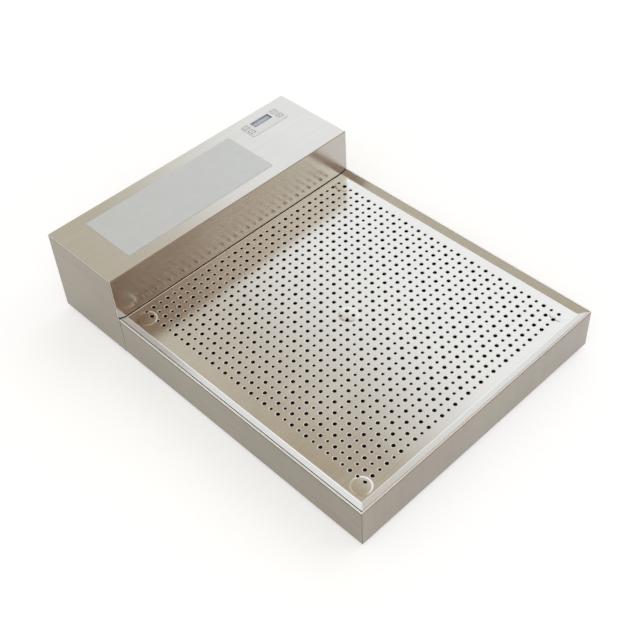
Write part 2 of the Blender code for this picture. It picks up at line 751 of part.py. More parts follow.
def build_end_panels(steel):
    """Flat end sheets set inside the cover's edges, with flanges folded inwards."""
    low_y = WALL_Y + BODY_SHEET + EDGE_GAP
    flange_back_y = REAR_INNER_Y - CLEARANCE
    flange_low_z = FLOOR_Z + CLEARANCE
    for name, side in sides_of("end_panel"):
        def span(inset_a, inset_b, low, high, label, material=None, side=side):
            xs = sorted((side * (HALF_WIDTH - inset_a), side * (HALF_WIDTH - inset_b)))
            return add_box(label, (xs[0], *low), (xs[1], *high), material)

        panel = span(0.0, BODY_SHEET, (low_y, BASE_Z), (BACK_Y, PANEL_TOP_Z), name, steel)
        flanges = span(
            BODY_SHEET - WELD_SINK, END_FLANGE, (low_y, flange_low_z), (flange_back_y, PANEL_TOP_Z),
            "join_" + name,
        )
        hollow = span(
            BODY_SHEET, END_FLANGE + OVERRUN,
            (low_y + BODY_SHEET, flange_low_z + BODY_SHEET),
            (flange_back_y - BODY_SHEET, PANEL_TOP_Z - BODY_SHEET),
            "cut_" + name,
        )
        fuse(panel, flanges)
        cut(panel, hollow)
        for place, x, z in screw_places():
            if x * side > 0:
                hole = add_rod(
                    "cut_flange_screw_" + place, SCREW_RADIUS + CLEARANCE,
                    (x, flange_back_y - BODY_SHEET - OVERRUN, z), ALONG_Y,
                    BODY_SHEET + OVERRUN + WELD_SINK,
                )
                cut(panel, hole)


def build_base_plate(steel):
    """Floor of the housing, between the end panels."""
    add_box(
        "base_plate",
        (-PANEL_HALF_WIDTH, WALL_Y + BODY_SHEET + EDGE_GAP, BASE_Z),
        (PANEL_HALF_WIDTH, REAR_INNER_Y - EDGE_GAP, FLOOR_Z),
        steel,
    )


def build_rear_panel(steel):
    """Rear sheet with intake louvres, filter ledges, and the openings for its fittings."""
    panel = add_box(
        "rear_panel", (-PANEL_HALF_WIDTH, REAR_INNER_Y, BASE_Z),
        (PANEL_HALF_WIDTH, BACK_Y, PANEL_TOP_Z), steel,
    )
    filter_low_z = louvre_rows()[0] - LOUVRE_HEIGHT / 2 - FILTER_BORDER
    for side, low_x, high_x in filter_spans():
        ledge = add_box(
            "join_ledge_" + side,
            (low_x, FILTER_FRONT_Y, filter_low_z - CLEARANCE - LEDGE_THICKNESS),
            (high_x, REAR_INNER_Y + WELD_SINK, filter_low_z - CLEARANCE),
        )
        fuse(panel, ledge)
    slots = bmesh.new()
    for x in louvre_places():
        for z in louvre_rows():
            size = Matrix.Diagonal((LOUVRE_LENGTH, BODY_SHEET + 2 * OVERRUN, LOUVRE_HEIGHT, 1))
            place = Matrix.Translation((x, BACK_Y - BODY_SHEET / 2, z))
            bmesh.ops.create_cube(slots, size=1, matrix=place @ size)
    cut(panel, add_object("cut_louvres", slots))
    openings = (
        ("inlet", INLET_X, INLET_BODY_WIDTH, INLET_BODY_HEIGHT),
        ("switch", SWITCH_X, SWITCH_BODY_WIDTH, SWITCH_BODY_HEIGHT),
    )
    for name, x, width, height in openings:
        half_width = width / 2 + CLEARANCE
        half_height = height / 2 + CLEARANCE
        opening = add_box(
            "cut_rear_" + name,
            (x - half_width, REAR_INNER_Y - OVERRUN, FITTINGS_Z - half_height),
            (x + half_width, BACK_Y + OVERRUN, FITTINGS_Z + half_height),
        )
        cut(panel, opening)
    for place, x, z in screw_places():
        hole = add_rod(
            "cut_rear_screw_" + place, SCREW_RADIUS + CLEARANCE, (x, REAR_INNER_Y - OVERRUN, z),
            ALONG_Y, BODY_SHEET + 2 * OVERRUN,
        )
        cut(panel, hole)


def build_filters(foam):
    """A filter mat behind each louvre field, on its ledge."""
    low_z = louvre_rows()[0] - LOUVRE_HEIGHT / 2 - FILTER_BORDER
    high_z = louvre_rows()[-1] + LOUVRE_HEIGHT / 2 + FILTER_BORDER
    for side, low_x, high_x in filter_spans():
        mat = add_box(
            "intake_filter_" + side,
            (low_x, FILTER_FRONT_Y, low_z),
            (high_x, REAR_INNER_Y - CLEARANCE, high_z),
            foam,
        )
        bevel = mat.modifiers.new("soft_edges", "BEVEL")
        bevel.width = FILTER_CHAMFER
        bevel.segments = 1


def build_screws(steel):
    """Pan-head screws that hold the rear panel to the end panels' flanges."""
    profile = [
        (0.0, -SCREW_LENGTH), (SCREW_RADIUS, -SCREW_LENGTH), (SCREW_RADIUS, CLEARANCE),
        (SCREW_HEAD_RADIUS, CLEARANCE), (SCREW_HEAD_RADIUS, CLEARANCE + SCREW_HEAD_HEIGHT / 2),
        (SCREW_HEAD_RADIUS - SCREW_HEAD_HEIGHT / 2, CLEARANCE + SCREW_HEAD_HEIGHT),
        (0.0, CLEARANCE + SCREW_HEAD_HEIGHT),
    ]
    for place, x, z in screw_places():
        add_turned("rear_screw_" + place, profile, SCREW_SIDES, (x, BACK_Y, z), steel, turn=ALONG_Y)


def build_bolts(steel):
    """Hexagon bolts that hold the tray's rear wall to the housing."""
    head_y = TRAY_BACK_Y - BODY_SHEET - CLEARANCE
    length = 2 * BODY_SHEET + SEAM_GAP + CLEARANCE + BOLT_TAIL
    for side, x in bolt_places():
        bolt = add_rod(
            "tray_bolt_" + side, BOLT_HEAD_RADIUS, (x, head_y - BOLT_HEAD_HEIGHT, BASE_Z + BOLT_Z),
            ALONG_Y, BOLT_HEAD_HEIGHT, 6, steel,
        )
        shank = add_rod(
            "join_bolt_" + side, BOLT_RADIUS, (x, head_y - WELD_SINK, BASE_Z + BOLT_Z), ALONG_Y,
            length + WELD_SINK,
        )
        fuse(bolt, shank)


def build_collars(plastic):
    """Duct collars: a sleeve through both walls, with a flange inside the housing."""
    for name, side in sides_of("duct_collar"):
        x = side * WHEEL_X
        flange_back_y = COLLAR_FLANGE_Y + COLLAR_WALL
        tray_end_y = TRAY_BACK_Y - BODY_SHEET - COLLAR_REACH
        collar = duct_box(name, x, COLLAR_FLANGE_Y, flange_back_y, COLLAR_BORDER, plastic)
        sleeve = duct_box("join_" + name, x, tray_end_y, COLLAR_FLANGE_Y + WELD_SINK, COLLAR_WALL)
        passage = duct_box("cut_" + name, x, tray_end_y - OVERRUN, flange_back_y + OVERRUN, 0.0)
        fuse(collar, sleeve)
        cut(collar, passage)


def build_heaters(aluminium):
    """Finned heater blocks: a frame with slots through it, which leave the fins."""
    back_y = HEATER_FRONT_Y + HEATER_DEPTH
    slot_width = (2 * DUCT_HALF_WIDTH - HEATER_FIN * (HEATER_SLOTS - 1)) / HEATER_SLOTS
    for name, side in sides_of("heater_block"):
        x = side * WHEEL_X
        block = duct_box(name, x, HEATER_FRONT_Y, back_y, HEATER_FRAME, aluminium)
        slots = bmesh.new()
        for slot in range(HEATER_SLOTS):
            slot_x = x - DUCT_HALF_WIDTH + slot_width / 2 + slot * (slot_width + HEATER_FIN)
            size = Matrix.Diagonal((slot_width, HEATER_DEPTH + 2 * OVERRUN, DUCT_HEIGHT, 1))
            middle_y = (HEATER_FRONT_Y + back_y) / 2
            place = Matrix.Translation((slot_x, middle_y, (DUCT_FLOOR_Z + DUCT_TOP_Z) / 2))
            bmesh.ops.create_cube(slots, size=1, matrix=place @ size)
        cut(block, add_object("cut_" + name, slots))


def build_thermal_cutout(ceramic):
    """A disc cut-out on a small base, on top of the right heater block."""
    y = HEATER_FRONT_Y + HEATER_DEPTH / 2
    base_z = DUCT_TOP_Z + HEATER_FRAME + CLEARANCE
    top_z = base_z + CUTOUT_BASE_HEIGHT
    base = add_box(
        "thermal_cutout",
        (WHEEL_X - CUTOUT_BASE_WIDTH / 2, y - CUTOUT_BASE_DEPTH / 2, base_z),
        (WHEEL_X + CUTOUT_BASE_WIDTH / 2, y + CUTOUT_BASE_DEPTH / 2, top_z),
        ceramic,
    )
    disc = add_rod(
        "join_cutout_disc", CUTOUT_RADIUS, (WHEEL_X, y, top_z - WELD_SINK), UPRIGHT,
        CUTOUT_HEIGHT + WELD_SINK, FOOT_SIDES,
    )
    fuse(base, disc)


def scroll_outline(growth):
    """The scroll's side view about the shaft, as (y, z): spiral, then the duct to its mouth."""
    tongue_drop = SCROLL_END_RADIUS - DUCT_HEIGHT
    start = -math.asin(tongue_drop / SCROLL_START_RADIUS)
    end = math.pi * 3 / 2
    mouth_y = SCROLL_MOUTH_Y - SHAFT_Y
    points = []
    for step in range(SCROLL_STEPS + 1):
        share = step / SCROLL_STEPS
        angle = start + (end - start) * share
        radius = SCROLL_START_RADIUS + (SCROLL_END_RADIUS - SCROLL_START_RADIUS) * share + growth
        points.append((-radius * math.cos(angle), radius * math.sin(angle)))
    points.append((mouth_y, -SCROLL_END_RADIUS - growth))
    points.append((mouth_y, growth - tongue_drop))
    tongue_y = -math.sqrt((SCROLL_START_RADIUS + growth) ** 2 - (tongue_drop - growth) ** 2)
    points.append((tongue_y, growth - tongue_drop))
    return points


def scroll_prism(outline, low_x, high_x):
    """The scroll's outline extruded between two X values."""
    points = [(low_x, SHAFT_Y + y, SHAFT_Z + z) for y, z in outline]
    return extrude_outline(points, (high_x - low_x, 0, 0))


def build_scrolls(plastic):
    """Blower casings: a hollow scroll on two feet, open at its mouth and both sides."""
    inner_outline = scroll_outline(0.0)
    inner_outline[-3] = (inner_outline[-3][0] - OVERRUN, inner_outline[-3][1])
    inner_outline[-2] = (inner_outline[-2][0] - OVERRUN, inner_outline[-2][1])
    for name, side in sides_of("scroll_casing"):
        x = side * WHEEL_X
        half = DUCT_HALF_WIDTH
        outer_half = half + SCROLL_WALL
        outer_form = scroll_prism(scroll_outline(SCROLL_WALL), x - outer_half, x + outer_half)
        casing = add_object(name, outer_form, plastic)
        for place, y in (("front", SCROLL_MOUTH_Y), ("back", SHAFT_Y - SCROLL_FOOT_LENGTH / 2)):
            foot = add_box(
                "join_%s_foot_%s" % (name, place),
                (x - half, y, FLOOR_Z + CLEARANCE),
                (x + half, y + SCROLL_FOOT_LENGTH, DUCT_FLOOR_Z - SCROLL_WALL + WELD_SINK),
            )
            fuse(casing, foot)
        cavity = add_object("cut_" + name, scroll_prism(inner_outline, x - half, x + half))
        reach = SCROLL_WALL + 2 * OVERRUN
        outer_x = x + side * (half + SCROLL_WALL / 2) - reach / 2
        inner_x = x - side * (half + SCROLL_WALL / 2) - reach / 2
        door = add_rod(
            "cut_%s_door" % name, WHEEL_DOOR_RADIUS, (outer_x, SHAFT_Y, SHAFT_Z), ALONG_X, reach,
            ROUND_SIDES,
        )
        shaft_hole = add_rod(
            "cut_%s_shaft" % name, SCROLL_SHAFT_HOLE, (inner_x, SHAFT_Y, SHAFT_Z), ALONG_X, reach,
            SHAFT_SIDES,
        )
        cut(casing, cavity, door, shaft_hole)


def build_inlet_rings(plastic):
    """Rings that close the scrolls' wheel doors and lead the air into the wheels."""
    for name, side in sides_of("inlet_ring"):
        seat_x = side * (WHEEL_X + DUCT_HALF_WIDTH + SCROLL_WALL + CLEARANCE)
        throat = WHEEL_RADIUS - INLET_INSET
        rim = WHEEL_DOOR_RADIUS + INLET_RING_BORDER
        lip = -INLET_LIP - SCROLL_WALL
        profile = [
            (throat, lip), (throat + SCROLL_WALL, lip), (throat + SCROLL_WALL, 0.0),
            (rim, 0.0), (rim, SCROLL_WALL), (throat, SCROLL_WALL),
        ]
        turn = ALONG_X if side > 0 else Matrix.Rotation(-math.pi / 2, 4, "Y")
        add_ring(name, profile, ROUND_SIDES, (seat_x, SHAFT_Y, SHAFT_Z), plastic, turn)


def build_motor(enamel):
    """Motor with a bearing boss at each end and two feet on the base plate."""
    motor = add_turned(
        "fan_motor", rod_profile(MOTOR_RADIUS, MOTOR_LENGTH), MOTOR_SIDES,
        (-MOTOR_LENGTH / 2, SHAFT_Y, SHAFT_Z), enamel, turn=ALONG_X,
    )
    half = MOTOR_LENGTH / 2
    boss = add_rod(
        "join_motor_bearings", BEARING_RADIUS, (-half - BEARING_LENGTH, SHAFT_Y, SHAFT_Z), ALONG_X,
        MOTOR_LENGTH + 2 * BEARING_LENGTH, SHAFT_SIDES,
    )
    fuse(motor, boss)
    for name, side in sides_of("join_motor_foot"):
        edge_x = side * half
        other_x = edge_x - side * MOTOR_FOOT_LENGTH
        foot = add_box(
            name,
            (min(edge_x, other_x), SHAFT_Y - MOTOR_FOOT_WIDTH / 2, FLOOR_Z + CLEARANCE),
            (max(edge_x, other_x), SHAFT_Y + MOTOR_FOOT_WIDTH / 2, SHAFT_Z - MOTOR_RADIUS / 2),
        )
        fuse(motor, foot)
    bore = add_rod(
        "cut_motor_bore", SHAFT_RADIUS + CLEARANCE, (-half - BEARING_LENGTH - OVERRUN, SHAFT_Y, SHAFT_Z),
        ALONG_X, MOTOR_LENGTH + 2 * (BEARING_LENGTH + OVERRUN), SHAFT_SIDES,
    )
    cut(motor, bore)


def build_rotor(steel, plastic, guide):
    """One shaft and two drum wheels, which turn together about the shaft's axis."""
    half = WHEEL_X - WHEEL_WIDTH / 2 + HUB_LENGTH
    add_turned(
        "fan_shaft", rod_profile(SHAFT_RADIUS, 2 * half), SHAFT_SIDES, (-half, SHAFT_Y, SHAFT_Z), steel,
        turn=ALONG_X, parent=guide,
    )
    for name, side in sides_of("blower_wheel"):
        turn = ALONG_X if side > 0 else Matrix.Rotation(-math.pi / 2, 4, "Y")
        disc_x = side * (WHEEL_X - WHEEL_WIDTH / 2)
        place = (disc_x, SHAFT_Y, SHAFT_Z)
        bore = SHAFT_RADIUS + CLEARANCE / 2
        wheel = add_ring(
            name,
            [(bore, 0.0), (WHEEL_RADIUS, 0.0), (WHEEL_RADIUS, WHEEL_DISC), (HUB_RADIUS, WHEEL_DISC),
             (HUB_RADIUS, HUB_LENGTH), (bore, HUB_LENGTH)],
            BLADES * 2, place, plastic, turn, guide,
        )
        blades = bmesh.new()
        length = WHEEL_WIDTH - 2 * WHEEL_DISC + 2 * WELD_SINK
        middle = WHEEL_RADIUS - BLADE_DEPTH / 2 - WHEEL_DISC / 2
        for blade in range(BLADES):
            angle = math.tau * (blade + 1 / 2) / BLADES
            lean = Matrix.Rotation(angle, 4, "Z") @ Matrix.Translation((middle, 0, WHEEL_WIDTH / 2))
            twist = Matrix.Rotation(side * math.pi / 6, 4, "Z")
            size = Matrix.Diagonal((BLADE_DEPTH, WHEEL_DISC, length, 1))
            bmesh.ops.create_cube(blades, size=1, matrix=turn @ lean @ twist @ size)
        rim_inner = WHEEL_RADIUS - BLADE_DEPTH
        rim_start = WHEEL_WIDTH - WHEEL_DISC
        rim_profile = [
            (rim_inner, rim_start), (WHEEL_RADIUS, rim_start),
            (WHEEL_RADIUS, WHEEL_WIDTH), (rim_inner, WHEEL_WIDTH),
        ]
        rim = add_ring("join_%s_rim" % name, rim_profile, BLADES * 2, place, turn=turn)
        fuse(wheel, add_object("join_%s_blades" % name, blades, place=place), rim)


def build_overlay(print_film):
    """Keypad overlay with a display window and four key openings."""
    outline = rounded_rectangle(OVERLAY_WIDTH, OVERLAY_DEPTH, OVERLAY_CORNER, 0.0)
    overlay = add_object(
        "keypad_overlay", extrude_outline(outline, (0, 0, OVERLAY_THICKNESS)), print_film,
        (OVERLAY_X, OVERLAY_Y, OVERLAY_BOTTOM_Z),
    )
    window = add_box(
        "cut_overlay_display",
        (DISPLAY_X - DISPLAY_WIDTH / 2, DISPLAY_Y - DISPLAY_DEPTH / 2, TOP_Z - OVERRUN),
        (DISPLAY_X + DISPLAY_WIDTH / 2, DISPLAY_Y + DISPLAY_DEPTH / 2, OVERLAY_TOP_Z + OVERRUN),
    )
    cut(overlay, window)
    half = KEY_SIZE / 2 + CLEARANCE
    for name, x, y in key_places():
        opening = add_box(
            "cut_overlay_key_" + name, (x - half, y - half, TOP_Z - OVERRUN),
            (x + half, y + half, OVERLAY_TOP_Z + OVERRUN),
        )
        cut(overlay, opening)


def build_display(glass, dark):
    """Clear lens in the overlay's window, and the display module below the top sheet."""
    half_width = DISPLAY_WIDTH / 2 - CLEARANCE
    half_depth = DISPLAY_DEPTH / 2 - CLEARANCE
    lens_top_z = OVERLAY_TOP_Z - LENS_SINK
    add_box(
        "display_lens",
        (DISPLAY_X - half_width, DISPLAY_Y - half_depth, lens_top_z - LENS_THICKNESS),
        (DISPLAY_X + half_width, DISPLAY_Y + half_depth, lens_top_z),
        glass,
    )
    add_box(
        "display_module",
        (DISPLAY_X - MODULE_WIDTH / 2, DISPLAY_Y - MODULE_DEPTH / 2, MODULE_TOP_Z - MODULE_HEIGHT),
        (DISPLAY_X + MODULE_WIDTH / 2, DISPLAY_Y + MODULE_DEPTH / 2, MODULE_TOP_Z),
        dark,
    )


def build_keys(key_film):
    """Square key tops in the overlay's openings, each with a stem down to its switch."""
    top_z = OVERLAY_TOP_Z + KEY_PROUD
    cap_z = top_z - KEY_TOP_THICKNESS
    stem_z = BOARD_TOP_Z + TACT_HEIGHT + KEY_TRAVEL + CLEARANCE
    for name, x, y in key_places():
        outline = rounded_rectangle(KEY_SIZE, KEY_SIZE, KEY_CORNER, 0.0)
        cap = extrude_outline(outline, (0, 0, KEY_TOP_THICKNESS))
        key = add_object("key_" + name, cap, key_film, (x, y, cap_z))
        stem = add_box(
            "join_key_" + name,
            (x - KEY_STEM / 2, y - KEY_STEM / 2, stem_z),
            (x + KEY_STEM / 2, y + KEY_STEM / 2, cap_z + WELD_SINK / 2),
        )
        fuse(key, stem)


def build_control_board(laminate, steel):
    """Board under the display with a switch below each key, hung on four standoffs."""
    board = add_box(
        "control_board",
        (OVERLAY_X - BOARD_WIDTH / 2, OVERLAY_Y - BOARD_DEPTH / 2, BOARD_BOTTOM_Z),
        (OVERLAY_X + BOARD_WIDTH / 2, OVERLAY_Y + BOARD_DEPTH / 2, BOARD_TOP_Z),
        laminate,
    )
    half = TACT_SIZE / 2
    for name, x, y in key_places():
        switch = add_box(
            "join_tact_" + name,
            (x - half, y - half, BOARD_TOP_Z - WELD_SINK), (x + half, y + half, BOARD_TOP_Z + TACT_HEIGHT),
        )
        fuse(board, switch)
    standoff_x = BOARD_WIDTH / 2 - BOARD_EDGE
    standoff_y = BOARD_DEPTH / 2 - BOARD_EDGE
    length = CEILING_Z - BOARD_TOP_Z - 2 * CLEARANCE
    for row, sign_y in (("front", -1), ("back", 1)):
        for name, sign_x in sides_of("board_standoff_" + row):
            x = OVERLAY_X + sign_x * standoff_x
            y = OVERLAY_Y + sign_y * standoff_y
            place = (x, y, BOARD_TOP_Z + CLEARANCE)
            add_turned(name, rod_profile(STANDOFF_RADIUS, length), STANDOFF_SIDES, place, steel)


def build_label(foil):
    """The large label on the housing's top, left bare."""
    low_y = WALL_Y + LABEL_FRONT_INSET
    low_z = TOP_Z + STICKER_GAP
    high_x = OVERLAY_X - OVERLAY_WIDTH / 2 - LABEL_OVERLAY_GAP
    add_box(
        "label_plate", (-HALF_WIDTH + LABEL_LEFT_INSET, low_y, low_z),
        (high_x, low_y + LABEL_DEPTH, low_z + LABEL_THICKNESS), foil,
    )


def relay_left_x():
    return (POWER_LEFT_X + POWER_RIGHT_X - RELAY_WIDTH - RELAY_GAP) / 2


def relay_y():
    return POWER_FRONT_Y + RELAY_GAP + RELAY_DEPTH / 2


def transformer_y():
    return POWER_BACK_Y - RELAY_GAP - TRANSFORMER_DEPTH / 2


def build_power_board(laminate):
    """Power board on four legs, with two relays and a transformer."""
    bottom_z = POWER_TOP_Z - BOARD_THICKNESS
    board = add_box(
        "power_board", (POWER_LEFT_X, POWER_FRONT_Y, bottom_z),
        (POWER_RIGHT_X, POWER_BACK_Y, POWER_TOP_Z), laminate,
    )
    for row, y in (("front", POWER_FRONT_Y), ("back", POWER_BACK_Y - POWER_LEG)):
        for column, x in (("left", POWER_LEFT_X), ("right", POWER_RIGHT_X - POWER_LEG)):
            leg = add_box(
                "join_power_leg_%s_%s" % (row, column), (x, y, FLOOR_Z + CLEARANCE),
                (x + POWER_LEG, y + POWER_LEG, bottom_z + WELD_SINK),
            )
            fuse(board, leg)
    middle_x = (POWER_LEFT_X + POWER_RIGHT_X) / 2
    relay_size = (RELAY_WIDTH, RELAY_DEPTH, RELAY_HEIGHT)
    transformer_size = (TRANSFORMER_WIDTH, TRANSFORMER_DEPTH, TRANSFORMER_HEIGHT)
    parts = (
        ("relay_left", relay_left_x(), relay_y(), relay_size),
        ("relay_right", 2 * middle_x - relay_left_x(), relay_y(), relay_size),
        ("transformer", middle_x, transformer_y(), transformer_size),
    )
    for name, x, y, (width, depth, height) in parts:
        block = add_box(
            "join_" + name, (x - width / 2, y - depth / 2, POWER_TOP_Z - WELD_SINK),
            (x + width / 2, y + depth / 2, POWER_TOP_Z + height),
        )
        fuse(board, block)


def build_terminal_block(plastic):
    """Terminal block on the base plate, with a screw well for each wire."""
    high_x = HALF_WIDTH - TERMINAL_RIGHT_INSET
    low_x = high_x - TERMINAL_WIDTH
    low_z = FLOOR_Z + CLEARANCE
    top_z = low_z + TERMINAL_HEIGHT
    block = add_box(
        "terminal_block", (low_x, TERMINAL_FRONT_Y, low_z), (high_x, TERMINAL_BACK_Y, top_z), plastic
    )
    wells = bmesh.new()
    pitch = TERMINAL_WIDTH / TERMINAL_WELLS
    for well in range(TERMINAL_WELLS):
        size = Matrix.Diagonal((TERMINAL_WELL_SIZE, TERMINAL_WELL_SIZE, TERMINAL_WELL_DEPTH + OVERRUN, 1))
        middle_z = top_z + (OVERRUN - TERMINAL_WELL_DEPTH) / 2
        middle_y = (TERMINAL_FRONT_Y + TERMINAL_BACK_Y) / 2
        place = Matrix.Translation((low_x + pitch * (well + 1 / 2), middle_y, middle_z))
        bmesh.ops.create_cube(wells, size=1, matrix=place @ size)
    cut(block, add_object("cut_terminal_wells", wells))


def build_mains_inlet(plastic):
    """Appliance inlet: flange on the rear panel, body inside, socket with three contacts."""
    back_y = BACK_Y + CLEARANCE + INLET_FLANGE_THICKNESS
    half_flange = INLET_BODY_WIDTH / 2 + INLET_FLANGE_BORDER
    half_flange_height = INLET_BODY_HEIGHT / 2 + INLET_FLANGE_BORDER
    inlet = add_box(
        "mains_inlet",
        (INLET_X - half_flange, BACK_Y + CLEARANCE, FITTINGS_Z - half_flange_height),
        (INLET_X + half_flange, back_y, FITTINGS_Z + half_flange_height),
        plastic,
    )
    body_end_y = BACK_Y + CLEARANCE + WELD_SINK
    body = add_box(
        "join_inlet_body",
        (INLET_X - INLET_BODY_WIDTH / 2, INLET_FRONT_Y, FITTINGS_Z - INLET_BODY_HEIGHT / 2),
        (INLET_X + INLET_BODY_WIDTH / 2, body_end_y, FITTINGS_Z + INLET_BODY_HEIGHT / 2),
    )
    half_width = SOCKET_WIDTH / 2
    half_height = SOCKET_HEIGHT / 2
    floor_y = back_y - SOCKET_DEPTH
    outline = [
        (-half_width, -half_height), (half_width, -half_height), (half_width, half_height - SOCKET_CORNER),
        (half_width - SOCKET_CORNER, half_height), (SOCKET_CORNER - half_width, half_height),
        (-half_width, half_height - SOCKET_CORNER),
    ]
    points = [(INLET_X + x, floor_y, FITTINGS_Z + z) for x, z in outline]
    socket = add_object("cut_inlet_socket", extrude_outline(points, (0, SOCKET_DEPTH + OVERRUN, 0)))
    fuse(inlet, body)
    cut(inlet, socket)
    contacts = (("left", -CONTACT_SPREAD, -CONTACT_RISE), ("earth", 0.0, CONTACT_RISE),
                ("right", CONTACT_SPREAD, -CONTACT_RISE))
    for name, x, z in contacts:
        middle_x = INLET_X + x
        middle_z = FITTINGS_Z + z
        contact = add_box(
            "join_contact_" + name,
            (middle_x - CONTACT_WIDTH / 2, floor_y - WELD_SINK, middle_z - CONTACT_HEIGHT / 2),
            (middle_x + CONTACT_WIDTH / 2, floor_y + CONTACT_LENGTH, middle_z + CONTACT_HEIGHT / 2),
        )
        fuse(inlet, contact)


def build_mains_switch(plastic, rocker_plastic):
    """Rocker switch: bezel and body in one, and a rocker that tips about X inside it."""
    bezel_y = BACK_Y + CLEARANCE
    front_y = bezel_y + BEZEL_PROUD
    half_bezel = SWITCH_BODY_WIDTH / 2 + BEZEL_BORDER
    half_bezel_height = SWITCH_BODY_HEIGHT / 2 + BEZEL_BORDER
    bezel = add_box(
        "switch_bezel",
        (SWITCH_X - half_bezel, bezel_y, FITTINGS_Z - half_bezel_height),
        (SWITCH_X + half_bezel, front_y, FITTINGS_Z + half_bezel_height),
        plastic,
    )
    body_front_y = REAR_INNER_Y - SWITCH_BODY_DEPTH
    body = add_box(
        "join_switch_body",
        (SWITCH_X - SWITCH_BODY_WIDTH / 2, body_front_y, FITTINGS_Z - SWITCH_BODY_HEIGHT / 2),
        (SWITCH_X + SWITCH_BODY_WIDTH / 2, bezel_y + WELD_SINK, FITTINGS_Z + SWITCH_BODY_HEIGHT / 2),
    )
    well_floor_y = front_y - SWITCH_WELL_DEPTH
    well = add_box(
        "cut_switch_well",
        (SWITCH_X - SWITCH_WELL_WIDTH / 2, well_floor_y, FITTINGS_Z - SWITCH_WELL_HEIGHT / 2),
        (SWITCH_X + SWITCH_WELL_WIDTH / 2, front_y + OVERRUN, FITTINGS_Z + SWITCH_WELL_HEIGHT / 2),
    )
    fuse(bezel, body)
    cut(bezel, well)
    pivot_y = front_y - ROCKER_PIVOT_DEPTH
    half_width = SWITCH_WELL_WIDTH / 2 - ROCKER_SIDE_GAP
    half_height = SWITCH_WELL_HEIGHT / 2 - ROCKER_END_GAP
    face = []
    for step in range(ROCKER_STEPS + 1):
        share = 2 * step / ROCKER_STEPS - 1
        face_y = ROCKER_PIVOT_DEPTH - CLEARANCE - ROCKER_SAG * (2 - share * share)
        face.append((face_y, half_height * share))
    outline = [(-ROCKER_DEPTH / 2, -half_height)] + face + [(-ROCKER_DEPTH / 2, half_height)]
    builder = extrude_outline([(-half_width, y, z) for y, z in outline], (2 * half_width, 0, 0))
    rocker = add_object("switch_rocker", builder, rocker_plastic, (SWITCH_X, pivot_y, FITTINGS_Z))
    rocker.rotation_euler = (math.radians(ROCKER_TILT_DEGREES), 0.0, 0.0)


def smooth_route(points):
    """Points read from a Catmull-Rom curve through a lead's own points."""
    knots = [Vector(point) for point in points]
    knots = [2 * knots[0] - knots[1]] + knots + [2 * knots[-1] - knots[-2]]
    route = []
    for index in range(1, len(knots) - 2):
        before, start, end, after = knots[index - 1:index + 3]
        for step in range(LEAD_STEPS):
            t = step / LEAD_STEPS
            route.append(
                (2 * start + (end - before) * t + (2 * before - 5 * start + 4 * end - after) * t ** 2
                 + (3 * start - before - 3 * end + after) * t ** 3) / 2
            )
    route.append(knots[-2])
    return route


def add_lead(name, points, radius, material):
    """An inside lead: a round tube with filled ends along a smooth route."""
    route = smooth_route(points)
    curve = bpy.data.curves.new(name, "CURVE")
    curve.dimensions = "3D"
    curve.bevel_depth = radius
    curve.bevel_resolution = 2
    curve.use_fill_caps = True
    spline = curve.splines.new("POLY")
    spline.points.add(len(route) - 1)
    for point, place in zip(spline.points, route):
        point.co = (*place, 1.0)
    curve.materials.append(material)
    bpy.context.collection.objects.link(bpy.data.objects.new(name, curve))


def build_leads(rubber, ribbon):
    """Leads between the inlet, the boards and the motor, clear of the wheels."""
    terminal_top_z = FLOOR_Z + CLEARANCE + TERMINAL_HEIGHT + LEAD_GAP
    terminal_x = HALF_WIDTH - TERMINAL_RIGHT_INSET - TERMINAL_WIDTH / 2
    terminal_y = (TERMINAL_FRONT_Y + TERMINAL_BACK_Y) / 2
    add_lead(
        "inlet_lead",
        [(INLET_X, INLET_FRONT_Y - LEAD_GAP, FITTINGS_Z),
         (INLET_X, INLET_FRONT_Y - LEAD_GAP - LEAD_RISE / 2, FITTINGS_Z),
         (terminal_x, terminal_y, terminal_top_z + LEAD_RISE), (terminal_x, terminal_y, terminal_top_z)],
        LEAD_RADIUS, rubber,
    )
    relay_top_z = POWER_TOP_Z + RELAY_HEIGHT + LEAD_GAP
    motor_top_z = SHAFT_Z + MOTOR_RADIUS + LEAD_GAP
    over_scroll_z = SHAFT_Z + SCROLL_END_RADIUS
    beside_scroll_x = WHEEL_X + DUCT_HALF_WIDTH + 2 * LEAD_RISE
    lead_y = SHAFT_Y - LEAD_RISE
    add_lead(
        "motor_lead",
        [(0.0, SHAFT_Y, motor_top_z), (0.0, SHAFT_Y, motor_top_z + LEAD_RISE),
         (WHEEL_X / 3, lead_y, over_scroll_z), (WHEEL_X, lead_y, over_scroll_z),
         (beside_scroll_x, relay_y(), over_scroll_z - LEAD_RISE),
         (relay_left_x(), relay_y(), relay_top_z + 2 * LEAD_RISE),
         (relay_left_x(), relay_y(), relay_top_z)],
        LEAD_RADIUS, rubber,
    )
    ribbon_x = OVERLAY_X + BOARD_WIDTH / 4
    ribbon_top_z = BOARD_BOTTOM_Z - LEAD_GAP
    transformer_x = (POWER_LEFT_X + POWER_RIGHT_X) / 2
    transformer_top_z = POWER_TOP_Z + TRANSFORMER_HEIGHT + LEAD_GAP
    add_lead(
        "panel_ribbon",
        [(ribbon_x, OVERLAY_Y, ribbon_top_z), (ribbon_x, OVERLAY_Y, ribbon_top_z - LEAD_RISE),
         (ribbon_x, (OVERLAY_Y + transformer_y()) / 2, (ribbon_top_z + transformer_top_z) / 2),
         (transformer_x, transformer_y(), transformer_top_z + 2 * LEAD_RISE),
         (transformer_x, transformer_y(), transformer_top_z)],
        RIBBON_RADIUS, ribbon,
    )


